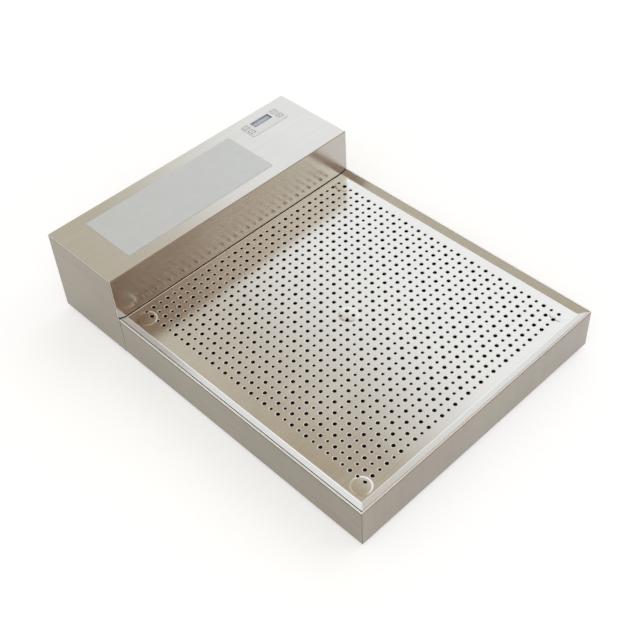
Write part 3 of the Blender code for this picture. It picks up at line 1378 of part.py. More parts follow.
def build_dryer():
    """Every piece of the dryer, outside first."""
    brushed_steel = make_material("brushed_steel", (0.64, 0.61, 0.56), 0.32, 1.0)
    plate_steel = make_material("plate_steel", (0.70, 0.68, 0.63), 0.30, 1.0)
    fastener_steel = make_material("fastener_steel", (0.62, 0.62, 0.62), 0.35, 1.0)
    black_rubber = make_material("black_rubber", (0.03, 0.03, 0.03), 0.8, 0.0)
    grey_plastic = make_material("grey_plastic", (0.30, 0.31, 0.32), 0.5, 0.0)
    black_plastic = make_material("black_plastic", (0.03, 0.03, 0.035), 0.4, 0.0)
    post_plastic = make_material("post_plastic", (0.75, 0.75, 0.72), 0.5, 0.0)
    motor_enamel = make_material("motor_enamel", (0.12, 0.14, 0.17), 0.45, 0.3)
    heater_aluminium = make_material("heater_aluminium", (0.77, 0.78, 0.79), 0.4, 1.0)
    ceramic = make_material("ceramic", (0.85, 0.82, 0.75), 0.6, 0.0)
    filter_foam = make_material("filter_foam", (0.08, 0.08, 0.08), 0.95, 0.0)
    overlay_film = make_material("overlay_film", (0.86, 0.88, 0.93), 0.35, 0.0)
    key_film = make_material("key_film", (0.88, 0.90, 0.95), 0.35, 0.0)
    lens_clear = make_material("lens_clear", (0.62, 0.68, 0.90), 0.1, 0.0)
    display_dark = make_material("display_dark", (0.05, 0.06, 0.08), 0.4, 0.0)
    board_green = make_material("board_green", (0.03, 0.22, 0.10), 0.5, 0.0)
    label_foil = make_material("label_foil", (0.62, 0.64, 0.66), 0.35, 0.4)
    ribbon_grey = make_material("ribbon_grey", (0.55, 0.55, 0.56), 0.6, 0.0)

    insert_guide = add_empty("insert_guide", (0.0, (FLAT_FRONT_Y + PLATE_BACK_Y) / 2, PLATE_Z))
    rotor_guide = add_empty("rotor_guide", (0.0, SHAFT_Y, SHAFT_Z))

    build_tray_shell(brushed_steel)
    build_insert_plate(plate_steel, insert_guide)
    build_posts(post_plastic)
    build_feet(black_rubber)
    build_housing_cover(brushed_steel)
    build_end_panels(brushed_steel)
    build_base_plate(brushed_steel)
    build_rear_panel(brushed_steel)
    build_filters(filter_foam)
    build_screws(fastener_steel)
    build_bolts(fastener_steel)
    build_collars(grey_plastic)
    build_heaters(heater_aluminium)
    build_thermal_cutout(ceramic)
    build_scrolls(grey_plastic)
    build_inlet_rings(grey_plastic)
    build_motor(motor_enamel)
    build_rotor(fastener_steel, black_plastic, rotor_guide)
    build_overlay(overlay_film)
    build_display(lens_clear, display_dark)
    build_keys(key_film)
    build_control_board(board_green, fastener_steel)
    build_label(label_foil)
    build_power_board(board_green)
    build_terminal_block(post_plastic)
    build_mains_inlet(black_plastic)
    build_mains_switch(black_plastic, black_plastic)
    build_leads(black_rubber, ribbon_grey)


clear_scene()
build_dryer()
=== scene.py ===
# %% [markdown]
# # A glass and cutlery dryer, dressed for its picture
# The dryer is a low steel tray with a lift-out perforated plate, in front of a taller box that holds two
# warm-air blowers. Its mechanical model is finished and packed, and it comes in here as a fixed frame: this
# lesson never moves it. It builds finer pieces in the same places, gives every piece a finish, and lights
# the whole for one picture.

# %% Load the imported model
import math

import bmesh
import bpy
from mathutils import Matrix, Vector


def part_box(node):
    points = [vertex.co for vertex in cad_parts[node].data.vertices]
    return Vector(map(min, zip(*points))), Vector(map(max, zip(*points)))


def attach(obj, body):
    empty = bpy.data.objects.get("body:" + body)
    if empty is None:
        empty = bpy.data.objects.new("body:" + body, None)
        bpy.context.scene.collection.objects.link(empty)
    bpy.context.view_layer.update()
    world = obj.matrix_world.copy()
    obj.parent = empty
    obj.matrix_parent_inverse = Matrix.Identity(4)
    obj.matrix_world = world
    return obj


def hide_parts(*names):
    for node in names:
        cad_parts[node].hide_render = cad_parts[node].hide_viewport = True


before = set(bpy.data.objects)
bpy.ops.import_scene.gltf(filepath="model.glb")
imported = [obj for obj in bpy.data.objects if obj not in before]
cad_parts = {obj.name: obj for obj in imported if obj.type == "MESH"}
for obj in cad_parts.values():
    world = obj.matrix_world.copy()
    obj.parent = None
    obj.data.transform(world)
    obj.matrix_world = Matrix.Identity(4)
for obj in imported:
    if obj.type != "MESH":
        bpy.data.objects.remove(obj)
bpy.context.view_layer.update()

# %% [markdown]
# ## The camera
# The picture was taken from the front left, high above the tray. Its place and turn were worked out once
# from the grid of holes in the plate, so they are typed in as plain numbers: a place in metres, and the
# three directions of the camera's own axes. A 62 mm lens on a 36 mm sensor gives the same framing.

# %% Set the camera
camera_data = bpy.data.cameras.new("camera")
camera_data.sensor_width = 36.0
camera_data.lens = 62.114
camera = bpy.data.objects.new("camera", camera_data)
bpy.context.scene.collection.objects.link(camera)
right = Vector((0.70877445, -0.70417483, -0.04214957))
up = Vector((0.52751203, 0.48939168, 0.69442555))
backward = Vector((-0.46836934, -0.51442549, 0.71832901))
turn = Matrix((right, up, backward)).transposed().to_4x4()
camera.matrix_world = Matrix.Translation((-0.87623, -0.96915, 1.36168)) @ turn
bpy.context.scene.camera = camera
print("camera at", [round(value, 3) for value in camera.location])

# %% [markdown]
# ## Wiring nodes
# Every finish is a small tree of nodes, and so is the light. A few helpers keep them short. An input is fed
# with a socket or with a plain value. Math and Vector Math nodes take their inputs in order, and a Map Range
# node moves values from one range to another.

# %% Helpers for node trees
def feed(tree, target, value):
    """Links a socket to an input, or sets the input to a plain value."""
    if isinstance(value, bpy.types.NodeSocket):
        tree.links.new(value, target)
    else:
        target.default_value = value


def fill(tree, node, values):
    """Feeds several inputs of a node by name."""
    for name, value in values.items():
        feed(tree, node.inputs[name], value)


def add_node(tree, kind, **values):
    """A shader node with some of its settings and inputs filled in by name."""
    node = tree.nodes.new("ShaderNode" + kind)
    for name, value in values.items():
        if name in node.inputs:
            feed(tree, node.inputs[name], value)
        else:
            setattr(node, name, value)
    return node


def math_of(tree, operation, *values, **settings):
    """The output of a Math node."""
    node = add_node(tree, "Math", operation=operation, **settings)
    for target, value in zip(node.inputs, values):
        feed(tree, target, value)
    return node.outputs["Value"]


def vector_of(tree, operation, *values, scale=None):
    """The output of a Vector Math node."""
    node = add_node(tree, "VectorMath", operation=operation)
    for target, value in zip(node.inputs, values):
        feed(tree, target, value)
    if scale is not None:
        feed(tree, node.inputs["Scale"], scale)
    return node.outputs["Value" if operation in ("DOT_PRODUCT", "LENGTH") else "Vector"]


def remap(tree, value, from_low, from_high, to_low, to_high, **settings):
    """The output of a Map Range node."""
    node = add_node(tree, "MapRange", **settings)
    fill(tree, node, {"Value": value, "From Min": from_low, "From Max": from_high,
                      "To Min": to_low, "To Max": to_high})
    return node.outputs["Result"]


def noise_of(tree, place, scale, detail, rough=0.5, **settings):
    """The output of a Noise node."""
    return add_node(tree, "TexNoise", **settings, Vector=place, Scale=scale, Detail=detail,
                    Roughness=rough).outputs["Fac"]


def relief_of(tree, height, strength, distance):
    """The normal of a Bump node."""
    return add_node(tree, "Bump", Strength=strength, Distance=distance, Height=height).outputs["Normal"]


def lay_over(tree, below, colour, amount):
    """A colour laid over the one in socket below, by an amount from 0 to 1."""
    mix = add_node(tree, "Mix", data_type="RGBA", Factor=amount, A=below, B=(*colour, 1.0))
    return mix.outputs["Result"]


def place_of(tree):
    """The object's own coordinates, in metres."""
    return add_node(tree, "TexCoord").outputs["Object"]


def new_finish(name):
    """A named material with its node tree and its Principled shader."""
    material = bpy.data.materials.new(name)
    material.use_nodes = True
    return material, material.node_tree, material.node_tree.nodes["Principled BSDF"]


print("node helpers ready")

# %% [markdown]
# ## Soft light all round
# Bare metal shows what stands around it, so a plain white dome would leave the sheet flat and grey. A
# studio has large white walls and a few darker corners. Here the world is white in every direction, with
# soft patches over it: a wide pale grey with a brown middle high behind the dryer, a bright one low at its
# right, a warm grey one at its left, and in front a bright one with a brown side, which the housing's wall
# reflects. A patch is the dot product of the direction with the patch's middle, faded by a Map Range node.
# A later patch lies over an earlier one.

# %% Build the studio world
def direction(azimuth, elevation):
    """A unit vector from two angles in degrees, azimuth from +X towards +Y."""
    a, e = math.radians(azimuth), math.radians(elevation)
    return (math.cos(a) * math.cos(e), math.sin(a) * math.cos(e), math.sin(e))


def add_patch(tree, towards, below, middle, full, faded, colour):
    """A soft patch over the colour in socket below, full inside one angle and gone outside another."""
    dot = vector_of(tree, "DOT_PRODUCT", towards, middle)
    fade = remap(tree, dot, math.cos(math.radians(faded)), math.cos(math.radians(full)), 0.0, 1.0,
                 interpolation_type="SMOOTHSTEP")
    return lay_over(tree, below, colour, fade)


world = bpy.data.worlds.new("studio")
world.use_nodes = True
bpy.context.scene.world = world
sky = world.node_tree
towards = add_node(sky, "TexCoord").outputs["Generated"]
shade = add_node(sky, "RGB").outputs["Color"]
shade.default_value = (1.0, 1.0, 1.0, 1.0)
patches = (   # middle, angle where it is full, angle where it is gone, colour
    (direction(60, 60), 48.0, 60.0, (0.88, 0.885, 0.875)),
    (direction(47, 86), 14.0, 23.0, (0.47, 0.385, 0.275)),
    (direction(68, 60), 13.5, 22.5, (0.31, 0.235, 0.135)),
    (direction(28.4, 19.0), 29.0, 35.0, (0.90, 0.915, 0.925)),
    (direction(111, 31.7), 38.2, 50.0, (0.545, 0.50, 0.41)),
    (direction(-66, 42), 20.0, 32.0, (1.28, 1.30, 1.20)),
    (direction(-76, 44), 14.5, 24.0, (1.05, 0.70, 0.39)),
    (direction(-76, 44), 12.0, 20.5, (0.17, 0.06, 0.0)),
)
for patch in patches:
    shade = add_patch(sky, towards, shade, *patch)
fill(sky, sky.nodes["Background"], {"Color": shade, "Strength": 1.0})
bpy.context.scene.view_settings.view_transform = "Standard"
print("world patches:", len(patches))

# %% [markdown]
# ## The floor
# The floor is a plain pale sheet. It keeps a soft shadow because it is still a lit surface, and a little
# glow, seen only by the camera, by reflections and through clear parts, lifts it to paper white.

# %% Lay the floor
FLOOR_GLOW, FLOOR_REACH = 0.42, 30.0


def mesh_from(builder, name, finishes=()):
    """Turns a bmesh into a mesh with its finishes, and frees the bmesh."""
    mesh = bpy.data.meshes.new(name)
    builder.to_mesh(mesh)
    builder.free()
    for finish in finishes:
        mesh.materials.append(finish)
    return mesh


def show(name, mesh):
    """Puts a mesh into the scene as an object."""
    shown = bpy.data.objects.new(name, mesh)
    bpy.context.scene.collection.objects.link(shown)
    return shown


floor_paper, tree, shader = new_finish("floor_paper")
rays = add_node(tree, "LightPath").outputs
seen = rays["Is Camera Ray"]
for other in ("Is Glossy Ray", "Is Transmission Ray"):
    seen = math_of(tree, "MAXIMUM", seen, rays[other])
fill(tree, shader, {
    "Base Color": (0.84, 0.86, 0.90, 1.0), "Roughness": 1.0, "Specular IOR Level": 0.0,
    "Emission Color": (1.0, 1.0, 1.0, 1.0), "Emission Strength": math_of(tree, "MULTIPLY", seen, FLOOR_GLOW),
})
floor_builder = bmesh.new()
bmesh.ops.create_grid(floor_builder, x_segments=1, y_segments=1, size=FLOOR_REACH)
floor = show("floor", mesh_from(floor_builder, "floor", (floor_paper,)))
print("floor:", floor.dimensions[0], "m wide")

# %% [markdown]
# ## Tools for sheet metal
# Most of the dryer is folded sheet, so a few helpers are worth having. The first turns a bmesh into a
# piece of the dryer: it rides on a body of the frame, and stands for one of the frame's nodes. Others add
# blocks and holes, round the edges that are sharper than an angle, draw flat sheets out into solids, and
# give smooth shading that stays flat on the large faces.

# %% Hand a finished mesh over
def make_piece(name, builder, finishes, node, body="shell"):
    """Turns a bmesh into a piece that rides on a body and stands for a node of the frame."""
    piece = show(name, mesh_from(builder, name, finishes))
    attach(piece, body)
    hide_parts(node)
    return piece


def report(piece):
    """Prints a piece's size, and how many of its edges are open, which should be none."""
    builder = bmesh.new()
    builder.from_mesh(piece.data)
    open_edges = sum(not edge.is_manifold for edge in builder.edges)
    builder.free()
    print(piece.name, "-", len(piece.data.polygons), "faces,", open_edges, "open edges,",
          [round(value * 1000, 1) for value in piece.dimensions], "mm")


# %% Blocks and holes
NEAR = 0.00001   # lengths that differ by less are the same
PAST = 0.002     # how far a cutting tool reaches past the sheet


def add_block(builder, low, high):
    """A box between two corners."""
    low, high = Vector(low), Vector(high)
    size = Matrix.Diagonal((*(high - low), 1.0))
    place = Matrix.Translation((low + high) / 2)
    bmesh.ops.create_cube(builder, size=1.0, matrix=place @ size)


def add_shaft(builder, centre, half, start, end, along="z"):
    """A box round a line that runs along z or along y, between two places on the line."""
    (a, b), (half_a, half_b) = centre, half
    if along == "z":
        add_block(builder, (a - half_a, b - half_b, start), (a + half_a, b + half_b, end))
    else:
        add_block(builder, (a - half_a, start, b - half_b), (a + half_a, end, b + half_b))


def add_hole(builder, place, radius, depth, sides=20):
    """A rod that runs from front to back through a place, to cut a hole with."""
    across = Matrix.Translation(place) @ Matrix.Rotation(math.pi / 2, 4, "X")
    bmesh.ops.create_cone(builder, cap_ends=True, segments=sides, radius1=radius, radius2=radius, depth=depth,
                          matrix=across)


# %% Round edges, and shade them
def bevel(builder, geometry, radius, segments, affect="EDGES"):
    """Rounds the given edges, or the given corners of a flat sheet."""
    bmesh.ops.bevel(builder, geom=geometry, offset=radius, offset_type="OFFSET", segments=segments,
                    profile=0.5, affect=affect, clamp_overlap=True, material=-1)


def round_edges(builder, radius, segments, sharper_than=30.0, chosen=None):
    """Rounds the edges that are sharper than an angle, or those of them that a test chooses."""
    limit = math.radians(sharper_than)
    bevel(builder, [
        edge for edge in builder.edges
        if edge.is_manifold and edge.calc_face_angle() > limit and (chosen is None or chosen(edge))
    ], radius, segments)


def beyond(axis, limit):
    """A test for edges that lie wholly past a limit along an axis, 0, 1 or 2 for x, y or z."""
    return lambda edge: all(vert.co[axis] > limit for vert in edge.verts)


def edges_along(builder, axis, known=()):
    """The edges that run along an axis, as above, without those already known."""
    def runs(edge):
        a, b = (vert.co for vert in edge.verts)
        return all((abs(a[i] - b[i]) > NEAR) == (i == axis) for i in range(3))

    return [edge for edge in builder.edges if edge not in known and runs(edge)]


def rounded_block(node, radius, segments):
    """A box with rounded edges, as large as a node of the frame."""
    block = bmesh.new()
    add_block(block, *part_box(node))
    round_edges(block, radius, segments)
    return block


def shade_sheet(piece, sharp=25.0):
    """Smooth over bends, flat on large faces, and a crease where the angle is sharp."""
    piece.data.shade_smooth()
    piece.data.set_sharp_from_angle(angle=math.radians(sharp))
    even = piece.modifiers.new("even_shading", "WEIGHTED_NORMAL")
    even.keep_sharp = True
    report(piece)


# %% Draw sheets out
def verts_in(geometry):
    """The vertices among the things that a bmesh operator returns."""
    return [item for item in geometry if isinstance(item, bmesh.types.BMVert)]


def flat_sheet(low, high, z):
    """A flat rectangle between two corners, at a height."""
    sheet = bmesh.new()
    bmesh.ops.create_grid(sheet, x_segments=1, y_segments=1, size=0.5)
    size = Matrix.Diagonal((high[0] - low[0], high[1] - low[1], 1.0, 1.0))
    place = Matrix.Translation(((low[0] + high[0]) / 2, (low[1] + high[1]) / 2, z))
    bmesh.ops.transform(sheet, matrix=place @ size, verts=sheet.verts)
    return sheet


def thicken(builder, faces, shift):
    """Draws flat faces out into a solid."""
    grown = bmesh.ops.extrude_face_region(builder, geom=faces)["geom"]
    bmesh.ops.translate(builder, verts=verts_in(grown), vec=shift)
    bmesh.ops.recalc_face_normals(builder, faces=builder.faces)


def push(builder, face, shift):
    """Moves a face of a solid, with new walls behind it."""
    grown = bmesh.ops.extrude_face_region(builder, geom=[face])["geom"]
    bmesh.ops.delete(builder, geom=[face], context="FACES_ONLY")
    bmesh.ops.translate(builder, verts=verts_in(grown), vec=shift)




# %% [markdown]
# Holes and openings are cut with Boolean modifiers. The cut is baked into the mesh at once and its tool is
# thrown away, so nothing is left behind that could be mistaken for a part. The tool carries the same
# materials, so that the faces it leaves can have a finish of their own.

# %% Cut and join with a throwaway tool
def bake(piece):
    """Puts what the modifiers make into the mesh, and removes the modifiers."""
    graph = bpy.context.evaluated_depsgraph_get()
    shaped = bpy.data.meshes.new_from_object(
        piece.evaluated_get(graph), preserve_all_data_layers=True, depsgraph=graph
    )
    piece.modifiers.clear()
    plain, name = piece.data, piece.data.name
    piece.data = shaped
    bpy.data.meshes.remove(plain)
    shaped.name = name


def combine(piece, tool_builder, operation="DIFFERENCE", solver="EXACT"):
    """Cuts a piece with a tool, or joins the tool to it."""
    tool_mesh = mesh_from(tool_builder, "tool", piece.data.materials)
    tool = show("tool", tool_mesh)
    step = piece.modifiers.new("step", "BOOLEAN")
    step.operation = operation
    step.solver = solver
    step.object = tool
    bake(piece)
    bpy.data.objects.remove(tool)
    bpy.data.meshes.remove(tool_mesh)


# %% [markdown]
# Brushed sheet has a grain, and it bends with the sheet. So each piece of sheet gets a UV map in metres
# that runs along the grain in U and across it in V. A face is unfolded by the way it points. Shading that
# reads this map follows the folds, as the real grain does.

# %% Unfold the grain of a sheet
def lay_grain(piece, along="y"):
    """A UV map in metres: U along the grain, which runs along x or y of the flat sheet."""
    mesh = piece.data
    layer = mesh.uv_layers.get("grain") or mesh.uv_layers.new(name="grain")
    for polygon in mesh.polygons:
        nx, ny, nz = (abs(value) for value in polygon.normal)
        for loop in polygon.loop_indices:
            x, y, z = mesh.vertices[mesh.loops[loop].vertex_index].co
            if along == "x":
                place = (x, y) if nz >= max(nx, ny) else (x, z) if ny >= nx else (z, y)
            else:
                place = (y, x) if nz >= max(nx, ny) else (z, x) if ny >= nx else (y, z)
            layer.data[loop].uv = place
    mesh.uv_layers.active = layer


# %% [markdown]
# ## Brushed and satin steel
# All the sheet is stainless steel, but it doesn't look alike. The folded sides keep a coarse brushed grain
# and look darker, because the grain scatters light. The plate, its rim, the cover and the housing's wall
# are finer and brighter. One recipe makes them all: long thin noise along the grain changes the colour,
# the roughness and a faint relief, broad clouds add the uneven wipe of a used machine, and the shader's
# own anisotropy smears reflections across the grain. A few small finishes paint light and shade into the
# colour where the eye reads lines: a painted highlight on cut edges and on the crest of a hem, painted
# shade in folds, in hole bores and on the inside, and a warm painted reflection along some folds. The hole
# mouths get a rougher finish of their own. The side sheets are also painted a little lighter towards the
# right, a painted change in the light that they reflect.

# %% Steel recipe
tray_low, tray_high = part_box("tray_shell")


def steel_finish(name, colour, roughness, smear, streak, cloud, relief, painted_light_ramp=(0.0, 0.0, 0.0)):
    """Stainless sheet whose grain follows the grain map, and whose tone may be painted lighter from left to
    right, as painted light.
    """
    material, tree, shader = new_finish(name)
    grain = add_node(tree, "UVMap", uv_map="grain").outputs["UV"]
    place = place_of(tree)

    def streaks(along, across, detail, rough):
        """Noise drawn out along the grain."""
        drawn = add_node(tree, "Mapping", Vector=grain, Scale=(along, across, 1.0)).outputs["Vector"]
        return noise_of(tree, drawn, 1.0, detail, rough, noise_dimensions="2D")

    def spread(noise, low, high):
        """The noise, stretched to lie between two values."""
        return remap(tree, noise, 0.3, 0.7, low, high)

    fine, broad = streaks(9.0, 1300.0, 4.0, 0.65), streaks(3.0, 90.0, 3.0, 0.5)
    clouds = noise_of(tree, place, 9.0, 3.0, 0.55)
    streaked = math_of(tree, "MULTIPLY", spread(fine, 1 - streak, 1 + streak * 0.6),
                       spread(broad, 1 - streak * 0.7, 1 + streak * 0.5))
    tone = math_of(tree, "MULTIPLY", streaked, spread(clouds, 1 - cloud, 1 + cloud * 0.5))
    across = add_node(tree, "SeparateXYZ", Vector=place).outputs["X"]
    slope = vector_of(tree, "SCALE", tuple(value / tray_high.x for value in painted_light_ramp), scale=across)
    level = vector_of(tree, "ADD", slope, (1.0, 1.0, 1.0))
    tangent = add_node(tree, "Tangent", direction_type="UV_MAP", uv_map="grain")
    fill(tree, shader, {
        "Base Color": vector_of(tree, "MULTIPLY", vector_of(tree, "SCALE", colour, scale=tone), level),
        "Roughness": math_of(tree, "MULTIPLY", spread(fine, roughness * 0.85, roughness * 1.15),
                             spread(clouds, 0.92, 1.12)),
        "Normal": relief_of(tree, fine, relief, 0.00005), "Tangent": tangent.outputs["Tangent"],
        "Metallic": 1.0, "Anisotropic": smear, "Anisotropic Rotation": 0.25,
    })
    return material


# Name, colour, roughness, smear of reflections, then the strength of streaks, clouds and relief.
# The side sheets are painted a little lighter towards the right: painted light.
side_steel = steel_finish("brushed_side", (0.395, 0.362, 0.314), 0.34, 0.55, 0.055, 0.10, 0.25,
                          painted_light_ramp=(0.06, 0.07, 0.10))
plate_steel = steel_finish("satin_plate", (0.955, 0.95, 0.935), 0.195, 0.30, 0.02, 0.03, 0.10)
cover_steel = steel_finish("satin_cover", (0.85, 0.84, 0.815), 0.17, 0.62, 0.018, 0.03, 0.12)
# Painted highlight: cut edges are painted brighter than the sheet.
edge_highlight_steel = steel_finish("painted_highlight_edge", (0.90, 0.895, 0.88), 0.24, 0.0, 0.03, 0.03, 0.05)
# Painted shade: the tray's inside, its floor and its outer corners are painted dark.
grey_shade_steel = steel_finish("painted_shade_dim", (0.15, 0.143, 0.13), 0.42, 0.4, 0.08, 0.08, 0.2)
# Painted shade: a near-black line for folds and rounded borders.
fold_shade_steel = steel_finish("painted_shade_fold", (0.045, 0.04, 0.034), 0.40, 0.2, 0.10, 0.08, 0.2)
# Painted shade: the cover's front wall is painted darker than its top.
wall_shade_steel = steel_finish("painted_shade_wall_satin", (0.53, 0.505, 0.47), 0.23, 0.0, 0.02, 0.03, 0.12)
mouth_steel = steel_finish("bright_mouth", (0.94, 0.93, 0.91), 0.42, 0.0, 0.02, 0.02, 0.05)
# Painted shade: hole bores, the plate's rear lip and the wall's strip below the plate are painted near black.
black_shade_steel = steel_finish("painted_shade_black", (0.07, 0.065, 0.06), 0.50, 0.0, 0.05, 0.05, 0.1)
# Painted highlight: the crest of the hem is painted near white.
crest_highlight_steel = steel_finish("painted_highlight_crest", (0.97, 0.965, 0.955), 0.75, 0.0, 0.03, 0.03, 0.05)
# Painted reflection: a warm brown line along the front of the hem and the cover's fold.
painted_warm_reflection = steel_finish("painted_warm_reflection", (0.33, 0.235, 0.17), 0.40, 0.2, 0.10, 0.08, 0.2)
rim_steel = steel_finish("satin_rim", (0.82, 0.81, 0.785), 0.20, 0.35, 0.02, 0.03, 0.10)
print("sheet finishes:", [m.name for m in (side_steel, plate_steel, rim_steel, cover_steel, wall_shade_steel)])

# %% [markdown]
# ## The tray
# The tray is one sheet, folded up into four walls. Along the front and both sides its top edge is folded
# in on itself into a curled hem, which is what your hand meets, and the rear wall is cut low between the
# hems. The model starts as a block with rounded outer edges. One cut hollows it below the hem, a narrower
# one opens the top, and the last ones lower the rear wall and open the two air ports and bolt holes.

# %% Sizes of the tray
SHEET = 0.0012
BEND, HEM, HEM_DEPTH, HEM_CURL = 0.0009, 0.0024, 0.008, 0.0015
# The thin dark line under the curl is painted shade.
FOLD_LINE = 0.0022   # height of the thin dark line under the curl
FLOOR, REAR_TOP, NOTCH_TOP = 0.0092, 0.072, 0.080
PORT_MIDDLE, PORT_HALF, PORT_LOW, PORT_HIGH = 0.109991, 0.0245, 0.0157, 0.0587
BOLT_X, BOLT_Z, BOLT_HOLE = 0.185, 0.042, 0.0028
rear_inner = tray_high.y - SHEET
under_hem, curl_foot = tray_high.z - HEM_DEPTH, tray_high.z - HEM_CURL
print("tray from", [round(v, 4) for v in tray_low], "to", [round(v, 4) for v in tray_high])

# %% Fold the tray
tray = bmesh.new()
add_block(tray, tray_low, tray_high)
round_edges(tray, BEND, 4, chosen=lambda edge: min(v.co.z for v in edge.verts) < 0.02)
round_edges(tray, HEM_CURL, 5, chosen=lambda edge: (
    all(v.co.z > tray_high.z - NEAR for v in edge.verts)
    and sum(v.co.y for v in edge.verts) / 2 < tray_high.y - 0.001))
tray_piece = make_piece("tray", tray, (side_steel, crest_highlight_steel, grey_shade_steel, fold_shade_steel, painted_warm_reflection),
                        "tray_shell")
for inset, back, low_z, high_z in (
    (SHEET, rear_inner, FLOOR, under_hem),
    (HEM, tray_high.y + PAST, under_hem - 0.0002, tray_high.z + 0.005),
):
    hollow = bmesh.new()
    add_block(hollow, (-tray_high.x + inset, tray_low.y + inset, low_z), (tray_high.x - inset, back, high_z))
    combine(tray_piece, hollow)
report(tray_piece)


# %% Cut the tray's rear wall
def add_air_openings(tool, start, end, bolt_y):
    """The two air ports through a wall, each with a bolt hole beside it."""
    for side in (-1, 1):
        middle = (side * PORT_MIDDLE, (PORT_LOW + PORT_HIGH) / 2)
        add_shaft(tool, middle, (PORT_HALF, (PORT_HIGH - PORT_LOW) / 2), start, end, along="y")
        add_hole(tool, (side * BOLT_X, bolt_y, BOLT_Z), BOLT_HOLE, 0.008)


tool = bmesh.new()
add_block(tool, (-tray_high.x + HEM, rear_inner - 0.001, REAR_TOP),
          (tray_high.x - HEM, tray_high.y + PAST, NOTCH_TOP))
add_air_openings(tool, rear_inner - 0.001, tray_high.y + PAST, tray_high.y)
combine(tray_piece, tool)
report(tray_piece)

# %% [markdown]
# The folds and the inside of real sheet look darker than its broad faces, and the crest of a hem looks
# brighter, because of what each of them reflects. Here that light and shade is painted into the colour: the
# finished mesh is sliced at the foot of the curl and a little below it, which makes no new shape, and every
# face is given its finish by its place and the way it points. That leaves a painted highlight on the crest
# with a thin line of painted shade under it, which is a warm painted reflection at the front, and painted
# shade on the inside and at the outer corners.

# %% Give the tray's faces their finishes
# The crest gets a painted highlight, the inside and the line get painted shade, and the warm line gets a
# painted reflection.
BROAD, CREST, INSIDE, LINE, WARM_LINE = range(5)


def refinish(piece, rule, slices=()):
    """Slices a piece at some heights, then asks a rule for the finish number of every face."""
    builder = bmesh.new()
    builder.from_mesh(piece.data)
    for height in slices:
        bmesh.ops.bisect_plane(builder, geom=builder.verts[:] + builder.edges[:] + builder.faces[:],
                               dist=0.000001, plane_co=(0, 0, height), plane_no=(0, 0, 1))
    for face in builder.faces:
        face.material_index = rule(face.calc_center_median(), face.normal)
    builder.to_mesh(piece.data)
    builder.free()


def tray_finish(middle, normal):
    """The finish of a face of the tray, from its middle and the way it points, which paints its highlight and
    shade.
    """
    inside = abs(middle.x) < tray_high.x - 0.0005 and tray_low.y + 0.0005 < middle.y < rear_inner + 0.0001
    at_front = middle.y < tray_low.y + HEM and abs(middle.x) < tray_high.x - HEM
    at_corner = abs(normal.z) < 0.1 and min(abs(normal.x), abs(normal.y)) > 0.5
    if middle.z < 0.009:
        return BROAD
    if inside and normal.z < 0.5:
        return INSIDE
    if middle.z > curl_foot:
        return WARM_LINE if at_front and normal.z < 0.8 else CREST
    if middle.z > curl_foot - FOLD_LINE or normal.y > 0.3:
        return WARM_LINE if at_front else LINE
    return INSIDE if at_corner or inside else BROAD


refinish(tray_piece, tray_finish, slices=(curl_foot - 0.00002, curl_foot - FOLD_LINE))
lay_grain(tray_piece, along="y")
shade_sheet(tray_piece)

# %% [markdown]
# ## The perforated plate
# The plate lies in the tray and lifts out. Its flat field has a square grid of holes in which large and
# small take turns, and a low rim slopes up to the hem on three sides, mitred at the front corners. The
# rear edge is turned down as a stiff lip. The sheet is modelled without thickness first: one flat
# rectangle whose edges are extruded into slopes and a lip, then the folds are rounded, and Solidify gives
# it 1.5 mm.

# %% Fold the plate
PLATE_SHEET, PLATE_Z, PLATE_BEND, LIP = 0.0015, 0.080, 0.0016, 0.007
FLAT, MOUTH_RING, BORE, RIM = range(4)
plate_low, plate_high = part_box("perforated_plate")
rim_left = plate_low.x + 0.0008   # a thin gap to the hem
flat_x, flat_front, flat_back = 0.251, -0.3449, plate_high.y + 0.0009
plate = flat_sheet((-flat_x, flat_front), (flat_x, flat_back), PLATE_Z)
rim_edges = [edge for edge in plate.edges if min(v.co.y for v in edge.verts) < flat_back - 0.01]
rear_edge = [edge for edge in plate.edges if edge not in rim_edges]
for vert in verts_in(bmesh.ops.extrude_edge_only(plate, edges=rim_edges)["geom"]):
    vert.co.x = plate_high.x if vert.co.x > 0 else rim_left
    vert.co.y = plate_low.y if vert.co.y < 0 else flat_back
    vert.co.z = plate_high.z
for vert in verts_in(bmesh.ops.extrude_edge_only(plate, edges=rear_edge)["geom"]):
    vert.co.z = PLATE_Z - LIP
bmesh.ops.recalc_face_normals(plate, faces=plate.faces)
if max(plate.faces, key=lambda face: face.calc_area()).normal.z < 0:
    bmesh.ops.reverse_faces(plate, faces=plate.faces)
folds = [edge for edge in plate.edges if edge.is_manifold and edge.calc_face_angle() > 0.1]
bevel(plate, folds, PLATE_BEND, 4)
bmesh.ops.solidify(plate, geom=plate.faces[:], thickness=PLATE_SHEET)
bmesh.ops.recalc_face_normals(plate, faces=plate.faces)
for vert in plate.verts:
    vert.co.x = min(max(vert.co.x, plate_low.x), plate_high.x)
    vert.co.y = max(vert.co.y, plate_low.y)
# The rear lip gets the bore finish, painted shade.
for face in plate.faces:
    middle = face.calc_center_median()
    on_rim = abs(middle.x) > flat_x + 0.002 or middle.y < flat_front - 0.002
    on_lip = middle.z < PLATE_Z - 0.0014 and middle.y > flat_back - 0.002
    face.material_index = RIM if on_rim else BORE if on_lip else FLAT
print("plate sheet:", len(plate.faces), "faces, rim from z", PLATE_Z, "to", round(plate_high.z, 5))

# %% [markdown]
# Five low domes are pressed up out of the flat field, each over a post. A dome is a profile of a radius and
# a height at a time, spun round a full turn. The same small tool makes every turned part of the dryer
# later on. The domes are joined to the sheet, and the same shape, one sheet lower, hollows them out.

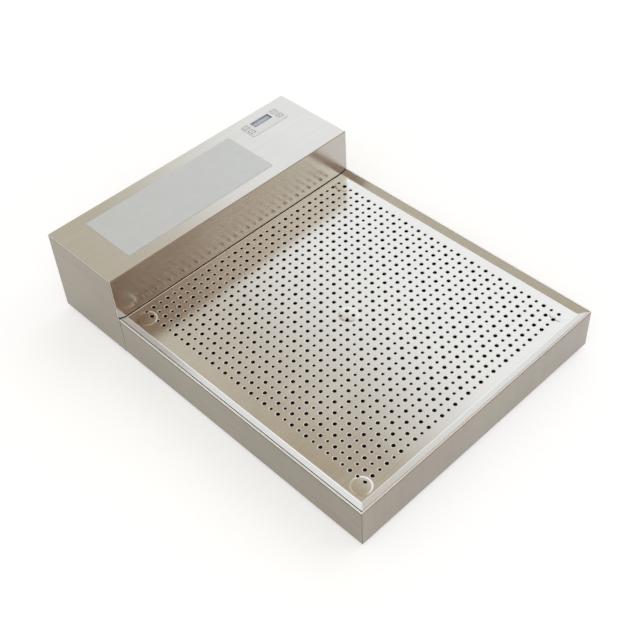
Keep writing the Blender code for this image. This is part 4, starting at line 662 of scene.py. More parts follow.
# %% Raise the five bosses
def turned(builder, profile, sides, place=None):
    """Spins (radius, height) pairs round the Z axis into a closed shape, and puts it in place."""
    before = set(builder.verts)
    verts = [builder.verts.new((radius, 0.0, height)) for radius, height in profile]
    edges = [builder.edges.new(pair) for pair in zip(verts, verts[1:])]
    bmesh.ops.spin(builder, geom=verts + edges, cent=(0, 0, 0), axis=(0, 0, 1), dvec=(0, 0, 0),
                   angle=2 * math.pi, steps=sides, use_merge=True, use_duplicate=False)
    made = [vert for vert in builder.verts if vert not in before]
    bmesh.ops.remove_doubles(builder, verts=made, dist=0.0000005)
    made = [vert for vert in builder.verts if vert not in before]
    faces = dict.fromkeys(face for vert in made for face in vert.link_faces)
    bmesh.ops.recalc_face_normals(builder, faces=list(faces))
    if place is not None:
        bmesh.ops.transform(builder, matrix=place, verts=made)


BOSS_RADIUS, BOSS_HEIGHT, BOSS_FLANK, BOSS_SIDES = 0.0177, 0.00055, 0.0036, 48
CROWN_RADII = (0.0128, 0.0105, 0.0082, 0.0058, 0.0034, 0.0016, 0.0)
boss_places = ((-0.230, -0.3246), (0.230, -0.3246), (0.0, -0.0766), (-0.230, 0.1584), (0.230, 0.1584))


def boss_height(radius):
    """Height of the dome's skin at a distance from its middle: a smooth flank and a low crown."""
    share = min(max((BOSS_RADIUS - radius) / BOSS_FLANK, 0.0), 1.0)
    flank = share * share * (3.0 - 2.0 * share)
    crown = 1.0 - min(radius / (BOSS_RADIUS - BOSS_FLANK), 1.0) ** 2
    return BOSS_HEIGHT * (0.68 * flank + 0.32 * crown)


def boss_profile(trim, lift, sink):
    """The dome's outline, from below its foot up to its middle."""
    radii = [*(BOSS_RADIUS - BOSS_FLANK * step / 8 for step in range(9)), *CROWN_RADII]
    skin = [(max(radius - trim, 0.0), lift + boss_height(radius)) for radius in radii]
    return [(0.0, sink), (BOSS_RADIUS - trim, sink)] + skin


plate_piece = make_piece("insert_plate", plate, (plate_steel, mouth_steel, black_shade_steel, rim_steel),
                         "perforated_plate", body="insert")
for operation, trim, lift, sink in (("UNION", 0.0, 0.0, -0.0007), ("DIFFERENCE", 0.0006, -0.0015, -0.0045)):
    domes = bmesh.new()
    for x, y in boss_places:
        turned(domes, boss_profile(trim, lift, sink), BOSS_SIDES, Matrix.Translation((x, y, PLATE_Z)))
    combine(plate_piece, domes, operation, "MANIFOLD")
report(plate_piece)

# %% [markdown]
# The punch leaves a rounded mouth on every hole, and it shows as a fine bright ring round a dark bore. So
# each drill is a rod with a flared top: the flare cuts the mouth and carries the bright mouth finish, and
# the rod carries the bore's near-black finish, which is painted shade. One drill of each size is made, and
# stamped at every place of the grid, with large and small in turns. Over a boss the drill is raised by the
# height of the dome there.

# %% Punch 1,054 holes
COLUMNS, ROWS, PITCH = 31, 34, 0.015
MIDDLE_COLUMN_X, FIRST_ROW_Y = 0.0037, -0.3239
SMALL, LARGE = 0.0026, 0.0034
MOUTH, MOUTH_DEPTH, DRILL_DEPTH, DRILL_REACH = 0.0010, 0.0004, 0.0048, 0.0006


def drill_mesh(name, radius, sides):
    """A rod with a flared top. The flare has the plate's mouth finish, and the rod its bore finish, painted
    shade.
    """
    rod = bmesh.new()
    top = radius + MOUTH * (MOUTH_DEPTH + DRILL_REACH) / MOUTH_DEPTH
    turned(rod, [(0.0, -DRILL_DEPTH), (radius, -DRILL_DEPTH), (radius, -MOUTH_DEPTH), (top, DRILL_REACH),
                 (0.0, DRILL_REACH)], sides)
    for face in rod.faces:
        # The rod's faces get the bore finish: painted shade.
        face.material_index = MOUTH_RING if 0.05 < abs(face.normal.z) < 0.99 else BORE
    return mesh_from(rod, name)


def stamp(tool, punch, place):
    """Adds a copy of a punch to a cutting tool."""
    start = len(tool.verts)
    tool.from_mesh(punch)
    tool.verts.ensure_lookup_table()
    bmesh.ops.translate(tool, verts=tool.verts[start:], vec=place)


punches = (drill_mesh("small_punch", SMALL, 12), drill_mesh("large_punch", LARGE, 16))
drills = bmesh.new()
for column in range(COLUMNS):
    for row in range(ROWS):
        x, y = MIDDLE_COLUMN_X + PITCH * (column - COLUMNS // 2), FIRST_ROW_Y + PITCH * row
        large = (column + max(row, 1)) % 2 == 0
        lift = max(boss_height(math.hypot(x - bx, y - by)) for bx, by in boss_places)
        stamp(drills, punches[large], (x, y, PLATE_Z + lift))
combine(plate_piece, drills, "DIFFERENCE", "MANIFOLD")
for mesh in punches:
    bpy.data.meshes.remove(mesh)
lay_grain(plate_piece, along="x")
shade_sheet(plate_piece, sharp=14.0)
print("holes:", COLUMNS * ROWS)

# %% [markdown]
# ## The housing's cover
# The cover is one sheet that makes both the housing's front wall and its top, with one rounded fold
# between them. It is drawn as an L from the side and extruded over the full width. Its cut edges get a
# painted highlight, and they frame the end panels. The front wall is painted darker than the top as shade,
# the fold between them gets a warm line of painted reflection, and the strip below the plate is painted
# dark as shade. Openings are cut for the two air ports, the bolts, the display and the keys.

# %% Fold the cover
WALL_Y, CEILING, FOLD, INNER_FOLD = 0.1871, 0.1668, 0.0014, 0.0010
PLATE_LINE = 0.0793   # the strip of the wall below this is hidden behind the plate
# Cut edges get a painted highlight, the wall and the dark strip get painted shade, and the warm fold gets a
# painted reflection.
TOP, CUT_EDGE, WALL, DARK_STRIP, WARM = range(5)
cover_low, cover_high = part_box("housing_cover")
wall_back = WALL_Y + SHEET
cover = bmesh.new()
section = ((WALL_Y, cover_low.z), (WALL_Y, cover_high.z), (cover_high.y, cover_high.z),
           (cover_high.y, CEILING), (wall_back, CEILING), (wall_back, cover_low.z))
drawn = cover.faces.new([cover.verts.new((cover_low.x, y, z)) for y, z in section])
thicken(cover, [drawn], (cover_high.x - cover_low.x, 0, 0))


def at(edge, y, z):
    """Whether an edge runs across the cover through a point of its section."""
    return all(abs(vert.co.y - y) < NEAR and abs(vert.co.z - z) < NEAR for vert in edge.verts)


round_edges(cover, FOLD, 6, chosen=lambda edge: at(edge, WALL_Y, cover_high.z))
round_edges(cover, INNER_FOLD, 4, chosen=lambda edge: at(edge, wall_back, CEILING))
round_edges(cover, 0.00018, 2, sharper_than=60.0)
cover_piece = make_piece("cover", cover, (cover_steel, edge_highlight_steel, wall_shade_steel, black_shade_steel, painted_warm_reflection),
                         "housing_cover")


def cover_finish(middle, normal):
    """The finish of a face of the cover, from its middle and the way it points, which paints its highlight
    and shade.
    """
    if abs(normal.x) > 0.3 or normal.y > 0.9 and middle.y > 0.35:
        return CUT_EDGE
    if normal.y < -0.95:
        return WALL if middle.z > PLATE_LINE else DARK_STRIP
    return WARM if normal.y < -0.2 and normal.z > 0.2 else TOP


refinish(cover_piece, cover_finish, slices=(PLATE_LINE,))

# %% Cut the cover's openings
KEY_PLACES = {
    "key_left_back": (0.1516, 0.32705), "key_left_front": (0.1516, 0.31155),
    "key_right_back": (0.2198, 0.32705), "key_right_front": (0.2198, 0.31155),
}
DISPLAY, WINDOW_HALF, STEM_HOLE_HALF = (0.1857, 0.3238), (0.020, 0.00625), (0.004, 0.004)
TOOL_TOP = 0.170
tool = bmesh.new()
add_air_openings(tool, WALL_Y - PAST, WALL_Y + 2 * PAST, WALL_Y)
for centre in KEY_PLACES.values():
    add_shaft(tool, centre, STEM_HOLE_HALF, CEILING - PAST, TOOL_TOP)
add_shaft(tool, DISPLAY, WINDOW_HALF, CEILING - PAST, TOOL_TOP)
combine(cover_piece, tool)
lay_grain(cover_piece, along="x")
shade_sheet(cover_piece)

# %% [markdown]
# ## The end panels
# Each end of the housing is closed by a flat sheet that sits inside the cover's edges, with a thin shadow
# gap all round. Its rounded borders are painted darker than its face, as painted shade, and they are folded
# inwards as flanges, which the rear screws bite into.

# %% Fold the end panels
FLANGE, FLANGE_WALL, FLANGE_BACK, FLANGE_FOOT = 0.012, 0.0008, 0.3536, 0.0095
SCREW_X, SCREW_HEIGHTS, SCREW_HOLE = 0.2585, (0.024, 0.150), 0.0023
for name, side in (("end_panel_left", -1), ("end_panel_right", 1)):
    low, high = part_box(name)
    outer_x = side * max(abs(low.x), abs(high.x))
    sheet_x, joint_x, inner_x = (outer_x - side * depth for depth in (SHEET, SHEET / 2, FLANGE))
    panel = bmesh.new()
    add_block(panel, (min(outer_x, sheet_x), low.y, low.z), (max(outer_x, sheet_x), high.y, high.z))
    at_top = beyond(2, high.z - NEAR)
    round_edges(panel, 0.0015, 3, chosen=lambda edge: (
        all(abs(v.co.x - outer_x) < NEAR for v in edge.verts)
        and (at_top(edge) or all(v.co.y < low.y + NEAR for v in edge.verts))))
    # The rounded borders get the near-black fold finish: painted shade.
    for face in panel.faces:
        face.material_index = 1 if abs(face.normal.x) < 0.9 else 0
    panel_piece = make_piece("end_sheet_" + name[10:], panel, (side_steel, fold_shade_steel), name)
    flange = bmesh.new()
    add_block(flange, (min(inner_x, joint_x), low.y, FLANGE_FOOT),
              (max(inner_x, joint_x), FLANGE_BACK, high.z))
    mouth = min(flange.faces, key=lambda face: abs(face.calc_center_median().x - inner_x))
    bmesh.ops.inset_region(flange, faces=[mouth], thickness=SHEET, depth=0.0, use_even_offset=True)
    push(flange, mouth, (side * (FLANGE - FLANGE_WALL), 0, 0))
    combine(panel_piece, flange, "UNION")
    tool = bmesh.new()
    for z in SCREW_HEIGHTS:
        add_hole(tool, (side * SCREW_X, 0.353, z), SCREW_HOLE, 0.003, sides=16)
    combine(panel_piece, tool)
    lay_grain(panel_piece, along="y")
    shade_sheet(panel_piece)

# %% [markdown]
# ## Printed and moulded surfaces
# The label, the keypad and the plastic parts need two more recipes. The first is for moulded or painted
# parts: a fine grain in the Object coordinates changes the tone, the roughness and the relief a little,
# so that the surface never looks like one flat colour. The second draws print. It measures how far a point
# is from a rounded box, in millimetres, less than nothing inside it, and turns that distance into a filled
# shape or an outline.

# %% Moulded parts recipe
def moulded_finish(name, colour, roughness, scale, tone, relief, metallic=0.0, specular=0.5):
    """A moulded, cast or painted surface: a fine grain of some scale, tone and relief, and faint clouds."""
    material, tree, shader = new_finish(name)
    place = place_of(tree)
    fine, clouds = noise_of(tree, place, scale, 3.0, 0.6), noise_of(tree, place, scale / 30.0, 2.0)
    shade = remap(tree, math_of(tree, "ADD", fine, clouds), 0.7, 1.3, 1.0 - tone, 1.0 + tone)
    fill(tree, shader, {
        "Base Color": vector_of(tree, "SCALE", colour, scale=shade),
        "Roughness": remap(tree, fine, 0.3, 0.7, roughness * 0.85, roughness * 1.15),
        "Normal": relief_of(tree, fine, relief, 0.0001), "Metallic": metallic, "Specular IOR Level": specular,
    })
    return material


# %% Print recipe
MM = 1000.0


class Print:
    """Print on a finish. One mark after another is laid over the colour so far."""

    def __init__(self, material, place=None):
        self.tree = material.node_tree
        self.place = place or place_of(self.tree)
        self.colour = self.target().links[0].from_socket

    def target(self):
        return self.tree.nodes["Principled BSDF"].inputs["Base Color"]

    def ink(self, centre, half, corner, width=None, soft=0.06):
        """Ink inside a rounded box, or along its outline when a width is given in millimetres."""
        tree, core = self.tree, (*(MM * (value - corner) for value in half), 0.0)
        moved = vector_of(tree, "SUBTRACT", self.place, (*centre, 0.0))
        folded = vector_of(tree, "ABSOLUTE", vector_of(tree, "MULTIPLY", moved, (MM, MM, 0.0)))
        outside = vector_of(tree, "MAXIMUM", vector_of(tree, "SUBTRACT", folded, core), (0.0, 0.0, 0.0))
        distance = math_of(tree, "SUBTRACT", vector_of(tree, "LENGTH", outside), MM * corner)
        if width is not None:
            distance = math_of(tree, "ABSOLUTE", distance)
        edge = 0.0 if width is None else width / 2
        return remap(tree, distance, edge - soft, edge + soft, 1.0, 0.0)

    def lay(self, ink, colour, strength=1.0):
        """Lays ink of a colour over the colour so far."""
        self.colour = lay_over(self.tree, self.colour, colour, math_of(self.tree, "MULTIPLY", ink, strength))
        feed(self.tree, self.target(), self.colour)


print("recipes ready")

# %% [markdown]
# ## The label
# A large foil label lies on the top sheet, left of the keypad. It is left bare here. It starts as one flat
# rectangle: its four corners are rounded first, then it gets its thickness and a fine rounded rim.

# %% Cut the label
def sheet_blank(low, high, corner, rim):
    """A thin sheet with rounded corners between two corners of a box, with a rounded top rim."""
    blank = flat_sheet(low, high, low.z)
    bevel(blank, blank.verts[:], corner, 6, affect="VERTICES")
    thicken(blank, blank.faces[:], (0, 0, high.z - low.z))
    round_edges(blank, rim, 2, sharper_than=80.0, chosen=beyond(2, high.z - NEAR))
    return blank


foil = moulded_finish("satin_foil", (0.75, 0.79, 0.825), 0.33, 1500.0, 0.025, 0.06, metallic=0.35)
blank = sheet_blank(*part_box("label_plate"), 0.0012, 0.00008)
shade_sheet(make_piece("label", blank, (foil,), "label_plate"))

# %% [markdown]
# ## The keypad
# The keypad is a pale film with rounded corners. A small display shows through its window, and two square
# keys stand at each side. The film's openings are cut. Its print is a fine border line, a dark frame round
# the window, three short marks under it, and a paler square round each key.

# %% Cut the film
KEY_OPENING_HALF, KEY_CORNER, FILM_TOOL = (0.0063, 0.0063), 0.0018, (0.167, 0.171)
low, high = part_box("keypad_overlay")
film_middle = ((low.x + high.x) / 2, (low.y + high.y) / 2)
border_half = ((high.x - low.x) / 2 - 0.0008, (high.y - low.y) / 2 - 0.0008)
film_print = moulded_finish("keypad_film", (0.89, 0.96, 1.0), 0.36, 1800.0, 0.02, 0.05, specular=1.0)
film = Print(film_print)
film.lay(film.ink(film_middle, border_half, 0.0024, 0.35), (0.58, 0.63, 0.70), 0.75)
film.lay(film.ink(DISPLAY, (0.0212, 0.0074), 0.0006), (0.035, 0.04, 0.055), 0.95)
for x in (-0.0038, 0.0, 0.0038):
    centre = (DISPLAY[0] + x, DISPLAY[1] - 0.0098)
    film.lay(film.ink(centre, (0.0011, 0.00028), 0.0001), (0.35, 0.42, 0.52), 0.8)
for centre in KEY_PLACES.values():
    film.lay(film.ink(centre, (0.0066, 0.0066), KEY_CORNER), (0.90, 0.92, 0.94), 0.8)
film_piece = make_piece("keypad_sheet", sheet_blank(low, high, 0.003, 0.0002), (film_print,),
                        "keypad_overlay")
tool = bmesh.new()
add_shaft(tool, DISPLAY, WINDOW_HALF, *FILM_TOOL)
for centre in KEY_PLACES.values():
    known = set(tool.edges)
    add_shaft(tool, centre, KEY_OPENING_HALF, *FILM_TOOL)
    bevel(tool, edges_along(tool, 2, known), KEY_CORNER, 4)
combine(film_piece, tool)
shade_sheet(film_piece)

# %% [markdown]
# Each key is a thin square cap, pillowed a little, on a stem that reaches down to its switch. Its print is
# an outline with a gap in the middle of each side, and one plain sign: plus, two bars, minus or a dot.

# %% Make the keys
KEY_CAP, STEM_HALF = 0.0005, 0.0035
SIGNS = {   # place from the key's middle and half sizes, for each bar of the sign
    "key_left_back": ((0.0, 0.0, 0.0020, 0.00045), (0.0, 0.0, 0.00045, 0.0020)),
    "key_left_front": ((0.0, 0.0010, 0.0019, 0.00040), (0.0, -0.0010, 0.0019, 0.00040)),
    "key_right_back": ((0.0, 0.0, 0.0020, 0.00050),),
    "key_right_front": ((0.0, 0.0, 0.0013, 0.0013),),
}


def key_finish(name, centre, bars):
    """The finish of one key, with its outline and its sign."""
    material = moulded_finish(name, (0.92, 0.95, 0.98), 0.32, 1800.0, 0.02, 0.05)
    key = Print(material)
    outline = key.ink(centre, (0.0049, 0.0049), KEY_CORNER, 1.25)
    for half in ((0.0008, 0.0100), (0.0100, 0.0008)):
        outline = math_of(key.tree, "SUBTRACT", outline, key.ink(centre, half, 0.0001), use_clamp=True)
    key.lay(outline, (0.12, 0.135, 0.17), 0.9)
    for x, y, half_x, half_y in bars:
        bar = key.ink((centre[0] + x, centre[1] + y), (half_x, half_y), min(half_x, half_y) * 0.9)
        key.lay(bar, (0.10, 0.12, 0.16), 0.9)
    return material


for name, (x, y) in KEY_PLACES.items():
    low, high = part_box(name)
    cap_foot = high.z - KEY_CAP
    key = sheet_blank(Vector((low.x, low.y, cap_foot)), high, 0.0015, 0.00018)
    underside = min(key.faces, key=lambda face: face.calc_center_median().z)
    bmesh.ops.inset_region(key, faces=[underside], thickness=0.0008, depth=0.0, use_even_offset=True)
    for vert in underside.verts:
        vert.co.x = min(max(vert.co.x, x - STEM_HALF), x + STEM_HALF)
        vert.co.y = min(max(vert.co.y, y - STEM_HALF), y + STEM_HALF)
    push(key, underside, (0, 0, low.z - cap_foot))
    bmesh.ops.remove_doubles(key, verts=key.verts, dist=0.00001)
    bmesh.ops.recalc_face_normals(key, faces=key.faces)
    print_finish = key_finish("print_" + name, (x, y), SIGNS[name])
    shade_sheet(make_piece("touch_" + name, key, (print_finish,), name, body=name))

# %% [markdown]
# Behind the window sits the display module: a dark block whose glass shows two rows of small dark blocks on
# a pale blue ground. The blocks are a grid of cells, and a random number for each cell decides which are
# dark, so nothing can be read. A clear lens lies over it, in the film's window.

# %% Make the display
DOT, DARK_ABOVE = 0.00042, 0.52
module_print = moulded_finish("display_module_case", (0.045, 0.048, 0.055), 0.35, 1200.0, 0.10, 0.1)
screen = Print(module_print)
screen.lay(screen.ink(DISPLAY, (0.0192, 0.00545), 0.0003), (0.64, 0.75, 1.0))
cells = vector_of(screen.tree, "SNAP", screen.place, (DOT, DOT, 1.0))
chance = add_node(screen.tree, "TexWhiteNoise", noise_dimensions="3D", Vector=cells)
dark = math_of(screen.tree, "GREATER_THAN", chance.outputs["Value"], DARK_ABOVE)
for row in (-0.0023, 0.0023):
    for column in range(8):
        centre = (DISPLAY[0] - 0.0154 + column * 0.0044, DISPLAY[1] + row)
        block = screen.ink(centre, (0.00155, 0.00145), 0.0001)
        screen.lay(math_of(screen.tree, "MULTIPLY", block, dark), (0.10, 0.14, 0.42), 0.75)
shade_sheet(make_piece("display_block", rounded_block("display_module", 0.0004, 2), (module_print,),
                       "display_module"), sharp=40.0)

lens_finish, tree, shader = new_finish("window_lens")
fill(tree, shader, {
    "Roughness": remap(tree, noise_of(tree, place_of(tree), 500.0, 2.0), 0.0, 1.0, 0.05, 0.12),
    "Base Color": (0.86, 0.90, 1.0, 1.0), "Alpha": 0.14,
})
shade_sheet(make_piece("window_pane", rounded_block("display_lens", 0.00012, 2), (lens_finish,),
                       "display_lens"), sharp=40.0)

# %% [markdown]
# ## The back of the housing
# The rear sheet lets the air in through three columns of slots, each with round ends. One slot is made as a
# block whose four upright corners are rounded, and it is stamped twenty-seven times into one cutting tool.
# Two shelves inside carry the filter mats.

# %% Make the rear sheet
FILTERS = ("intake_filter_left", "intake_filter_right")
FITTINGS_Z, INLET_X, SWITCH_X = 0.064, 0.222, 0.172
low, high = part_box("rear_panel")
rear_y = high.y - SHEET
rear = bmesh.new()
add_block(rear, (low.x, rear_y, low.z), high)
round_edges(rear, 0.0003, 2)
rear_piece = make_piece("rear_sheet", rear, (side_steel, edge_highlight_steel), "rear_panel")
ledges = bmesh.new()
for name in FILTERS:
    mat_low, mat_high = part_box(name)
    add_block(ledges, (mat_low.x, mat_low.y, mat_low.z - 0.0015),
              (mat_high.x, rear_y + 0.0004, mat_low.z - 0.0003))
combine(rear_piece, ledges, "UNION")
slot = bmesh.new()
add_block(slot, (-0.030, -0.003, -0.00175), (0.030, 0.003, 0.00175))
bevel(slot, edges_along(slot, 1), 0.0017, 5)
slot_punch = mesh_from(slot, "slot_punch")
tool = bmesh.new()
for x in (-0.170, -0.100, 0.100):
    for row in range(9):
        stamp(tool, slot_punch, (x, high.y - SHEET / 2, 0.052 + 0.009 * row))
bpy.data.meshes.remove(slot_punch)
for x, half in ((INLET_X, (0.0138, 0.0103)), (SWITCH_X, (0.0083, 0.0123))):
    add_shaft(tool, (x, FITTINGS_Z), half, rear_y - PAST, high.y + PAST, along="y")
for side in (-1, 1):
    for z in SCREW_HEIGHTS:
        add_hole(tool, (side * SCREW_X, rear_y, z), SCREW_HOLE, 0.006)
combine(rear_piece, tool)
lay_grain(rear_piece, along="x")
shade_sheet(rear_piece)

# %% [markdown]
# The four screws have pan heads with a cross. The head is a turned profile, and the cross is cut with two
# thin blocks. The bolts of the tray are hexagons: a cone with six sides, with a washer face.

# %% Turn the screws and bolts
def facing_back(place):
    """Puts a turned part at a place, with its axis along +Y."""
    return Matrix.Translation(place) @ Matrix.Rotation(-math.pi / 2, 4, "X")


zinc = moulded_finish("bright_zinc", (0.62, 0.62, 0.60), 0.30, 2500.0, 0.08, 0.1, metallic=1.0)
SCREW_PROFILE = (
    (0.0, -0.007), (0.0016, -0.007), (0.0020, -0.0064), (0.0020, 0.0003), (0.0040, 0.0003),
    (0.0040, 0.0011), (0.0036, 0.0019), (0.0027, 0.0025), (0.0014, 0.0027), (0.0, 0.0027),
)
SHANK_PROFILE = (
    (0.0, 0.0030), (0.0041, 0.0030), (0.0041, 0.0035), (0.0025, 0.0035), (0.0025, 0.0118),
    (0.0020, 0.0124), (0.0, 0.0124),
)
for name in ("lower_left", "lower_right", "upper_left", "upper_right"):
    low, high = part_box("rear_screw_" + name)
    middle = Vector(((low.x + high.x) / 2, 0.3551, (low.z + high.z) / 2))
    screw = bmesh.new()
    turned(screw, SCREW_PROFILE, 28, facing_back(middle))
    screw_piece = make_piece("rear_fixing_" + name, screw, (zinc,), "rear_screw_" + name)
    for half_x, half_z in ((0.0021, 0.00035), (0.00035, 0.0021)):
        groove = bmesh.new()
        add_block(groove, middle + Vector((-half_x, 0.0014, -half_z)),
                  middle + Vector((half_x, 0.0040, half_z)))
        combine(screw_piece, groove)
    shade_sheet(screw_piece, sharp=40.0)

for name in ("tray_bolt_left", "tray_bolt_right"):
    low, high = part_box(name)
    place = facing_back(((low.x + high.x) / 2, low.y, (low.z + high.z) / 2))
    bolt = bmesh.new()
    hexagon = bmesh.ops.create_cone(bolt, cap_ends=True, segments=6, radius1=0.0045, radius2=0.0045,
                                    depth=0.0033, matrix=Matrix.Translation((0, 0, 0.00165)))["verts"]
    bmesh.ops.transform(bolt, matrix=place @ Matrix.Rotation(math.pi / 2, 4, "Z"), verts=hexagon)
    round_edges(bolt, 0.0003, 2)
    bolt_piece = make_piece(name.replace("tray_bolt", "hex_bolt"), bolt, (zinc,), name)
    shank = bmesh.new()
    turned(shank, SHANK_PROFILE, 24, place)
    combine(bolt_piece, shank, "UNION")
    shade_sheet(bolt_piece, sharp=35.0)

# %% [markdown]
# ## Mains inlet and switch
# The power comes in at a three-pin appliance inlet beside a rocker switch. Both are snap-in mouldings: a
# flange with rounded corners outside, a body inside, and a well cut through the front.

# %% Mould the inlet
SNAP_Y, JOIN_Y = 0.3554, 0.3557   # back of the outer flange, and the front of the body that it overlaps
SOCKET_Y, PIN_Y = 0.3399, 0.3499   # the socket's floor, and the front of the pins
black_moulding = moulded_finish("black_moulding", (0.022, 0.022, 0.024), 0.42, 1400.0, 0.12, 0.2)
contact_brass = moulded_finish("contact_brass", (0.72, 0.62, 0.40), 0.28, 2500.0, 0.06, 0.05, metallic=1.0)


def snap_in(name, node, finishes, corner, rim, rim_segments):
    """The outer flange of a fitting, with rounded corners and a rounded front."""
    low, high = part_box(node)
    flange = bmesh.new()
    add_block(flange, (low.x, SNAP_Y, low.z), high)
    bevel(flange, edges_along(flange, 1), corner, 5)
    round_edges(flange, rim, rim_segments, sharper_than=60.0, chosen=beyond(1, high.y - NEAR))
    return make_piece(name, flange, finishes, node), low, high


inlet_piece, low, high = snap_in("power_inlet", "mains_inlet", (black_moulding, contact_brass), 0.0025,
                                 0.0006, 3)
body = bmesh.new()
add_shaft(body, (INLET_X, FITTINGS_Z), (0.0135, 0.010), low.y, JOIN_Y, along="y")
round_edges(body, 0.0006, 2, chosen=lambda edge: all(v.co.y < low.y + NEAR for v in edge.verts))
combine(inlet_piece, body, "UNION")
socket = bmesh.new()
add_shaft(socket, (INLET_X, FITTINGS_Z), (0.01175, 0.00825), SOCKET_Y, high.y + PAST, along="y")
upper = [edge for edge in edges_along(socket, 1) if edge.verts[0].co.z > FITTINGS_Z]
lower = [edge for edge in edges_along(socket, 1) if edge not in upper]
bevel(socket, upper, 0.005, 1)
bevel(socket, [edge for edge in lower if edge.is_valid], 0.0009, 3)
combine(inlet_piece, socket)
pins = bmesh.new()
for x, z in ((-0.007, -0.002), (0.0, 0.002), (0.007, -0.002)):
    add_shaft(pins, (INLET_X + x, FITTINGS_Z + z), (0.001, 0.002), SOCKET_Y - 0.0005, PIN_Y, along="y")
round_edges(pins, 0.0003, 2, chosen=beyond(1, PIN_Y - NEAR))
for face in pins.faces:
    face.material_index = 1
combine(inlet_piece, pins, "UNION")
shade_sheet(inlet_piece, sharp=35.0)

# %% [markdown]
# The switch is the same kind of moulding with a deeper frame. Its rocker is a dished bar that tips about an
# axis in the well. It is drawn from the side as a shallow arc, extruded, and tipped to its off position,
# with the two usual signs for on and off printed on its face.

# %% Mould the switch
WELL_DEPTH = 0.0125
bezel_piece, low, high = snap_in("switch_frame", "switch_bezel", (black_moulding,), 0.0020, 0.0010, 4)
body = bmesh.new()
add_shaft(body, (SWITCH_X, FITTINGS_Z), (0.008, 0.012), low.y, JOIN_Y, along="y")
combine(bezel_piece, body, "UNION")
well = bmesh.new()
add_shaft(well, (SWITCH_X, FITTINGS_Z), (0.006, 0.010), high.y - WELL_DEPTH, high.y + PAST, along="y")
bevel(well, edges_along(well, 1), 0.0006, 3)
combine(bezel_piece, well)
shade_sheet(bezel_piece, sharp=35.0)

# %% Mould the rocker
ROCKER_HALF_HEIGHT, ROCKER_HALF_WIDTH, ROCKER_BACK, OFF_TIP = 0.00925, 0.0055, -0.003, 7.0
rocker_print = moulded_finish("rocker_moulding", (0.030, 0.030, 0.033), 0.30, 1600.0, 0.10, 0.12)
tree = rocker_print.node_tree
upright = add_node(tree, "SeparateXYZ", Vector=place_of(tree)).outputs
face_on = add_node(tree, "CombineXYZ", X=upright["X"], Y=upright["Z"]).outputs["Vector"]
signs = Print(rocker_print, face_on)
for up, half, corner, width in (
    (0.0052, (0.0003, 0.0015), 0.0001, None),
    (-0.0052, (0.0013, 0.0013), 0.0013, 0.45),
):
    signs.lay(signs.ink((SWITCH_X, FITTINGS_Z + up), half, corner, width), (0.85, 0.85, 0.83), 0.9)
along = [step / 6 - 1 for step in range(13)]
arc = [(0.0042 - 0.0014 * (2 - t ** 2), ROCKER_HALF_HEIGHT * t) for t in along]
side_view = [(ROCKER_BACK, -ROCKER_HALF_HEIGHT), *arc, (ROCKER_BACK, ROCKER_HALF_HEIGHT)]
rocker = bmesh.new()
face = rocker.faces.new([rocker.verts.new((-ROCKER_HALF_WIDTH, y, z)) for y, z in side_view])
thicken(rocker, [face], (2 * ROCKER_HALF_WIDTH, 0, 0))
round_edges(rocker, 0.00025, 2, sharper_than=50.0)
tip = Matrix.Translation((SWITCH_X, SNAP_Y, FITTINGS_Z)) @ Matrix.Rotation(math.radians(OFF_TIP), 4, "X")
bmesh.ops.transform(rocker, matrix=tip, verts=rocker.verts)
rocker_piece = make_piece("rocker_bar", rocker, (rocker_print,), "switch_rocker", "rocker")
shade_sheet(rocker_piece, sharp=35.0)

# %% [markdown]
# ## Feet and posts
# Six rubber feet carry the dryer, and five moulded posts carry the plate. All are turned profiles. A foot
# has a hollow with its screw recess underneath. A post is a spool with rounded shoulders, and its top is
# painted near black as painted shade, so the holes over it look as dark as the others.

# %% Turn the feet
SIDES = ("left", "right")
FOOT_PROFILE = (
    (0.0, 0.0026), (0.0032, 0.0026), (0.0038, 0.0020), (0.0042, 0.0004), (0.0048, 0.0), (0.0104, 0.0),
    (0.0110, 0.0005), (0.0129, 0.0070), (0.0126, 0.0077), (0.0, 0.0077),
)
rubber = moulded_finish("foot_rubber", (0.028, 0.027, 0.026), 0.75, 1500.0, 0.15, 0.35)


def standing(node, profile, sides):
    """A turned part that stands upright in the middle of a node's box."""
    low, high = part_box(node)
    part = bmesh.new()
    turned(part, profile, sides, Matrix.Translation(((low.x + high.x) / 2, (low.y + high.y) / 2, 0.0)))
    return part


for row in ("front", "middle", "back"):
    for side in SIDES:
        name = "foot_%s_%s" % (row, side)
        foot = standing(name, FOOT_PROFILE, 40)
        shade_sheet(make_piece("rubber_" + name, foot, (rubber,), name), sharp=40.0)

# %% Turn the posts
SHADED_TOP_DEPTH = 0.0045
SPOOL_FOOT = (   # radius, and height above the foot
    (0.0, 0.0), (0.0136, 0.0), (0.0140, 0.0004), (0.0140, 0.0022), (0.0132, 0.0030),
    (0.0080, 0.0034), (0.0064, 0.0050), (0.0060, 0.0075),
)
SPOOL_HEAD = (   # radius, and depth below the top
    (0.0060, 0.0100), (0.0066, 0.0078), (0.0086, 0.0062), (0.0106, 0.0056), (0.0110, 0.0050),
    (0.0110, 0.0009), (0.0104, 0.0001), (0.0100, 0.0), (0.0, 0.0),
)
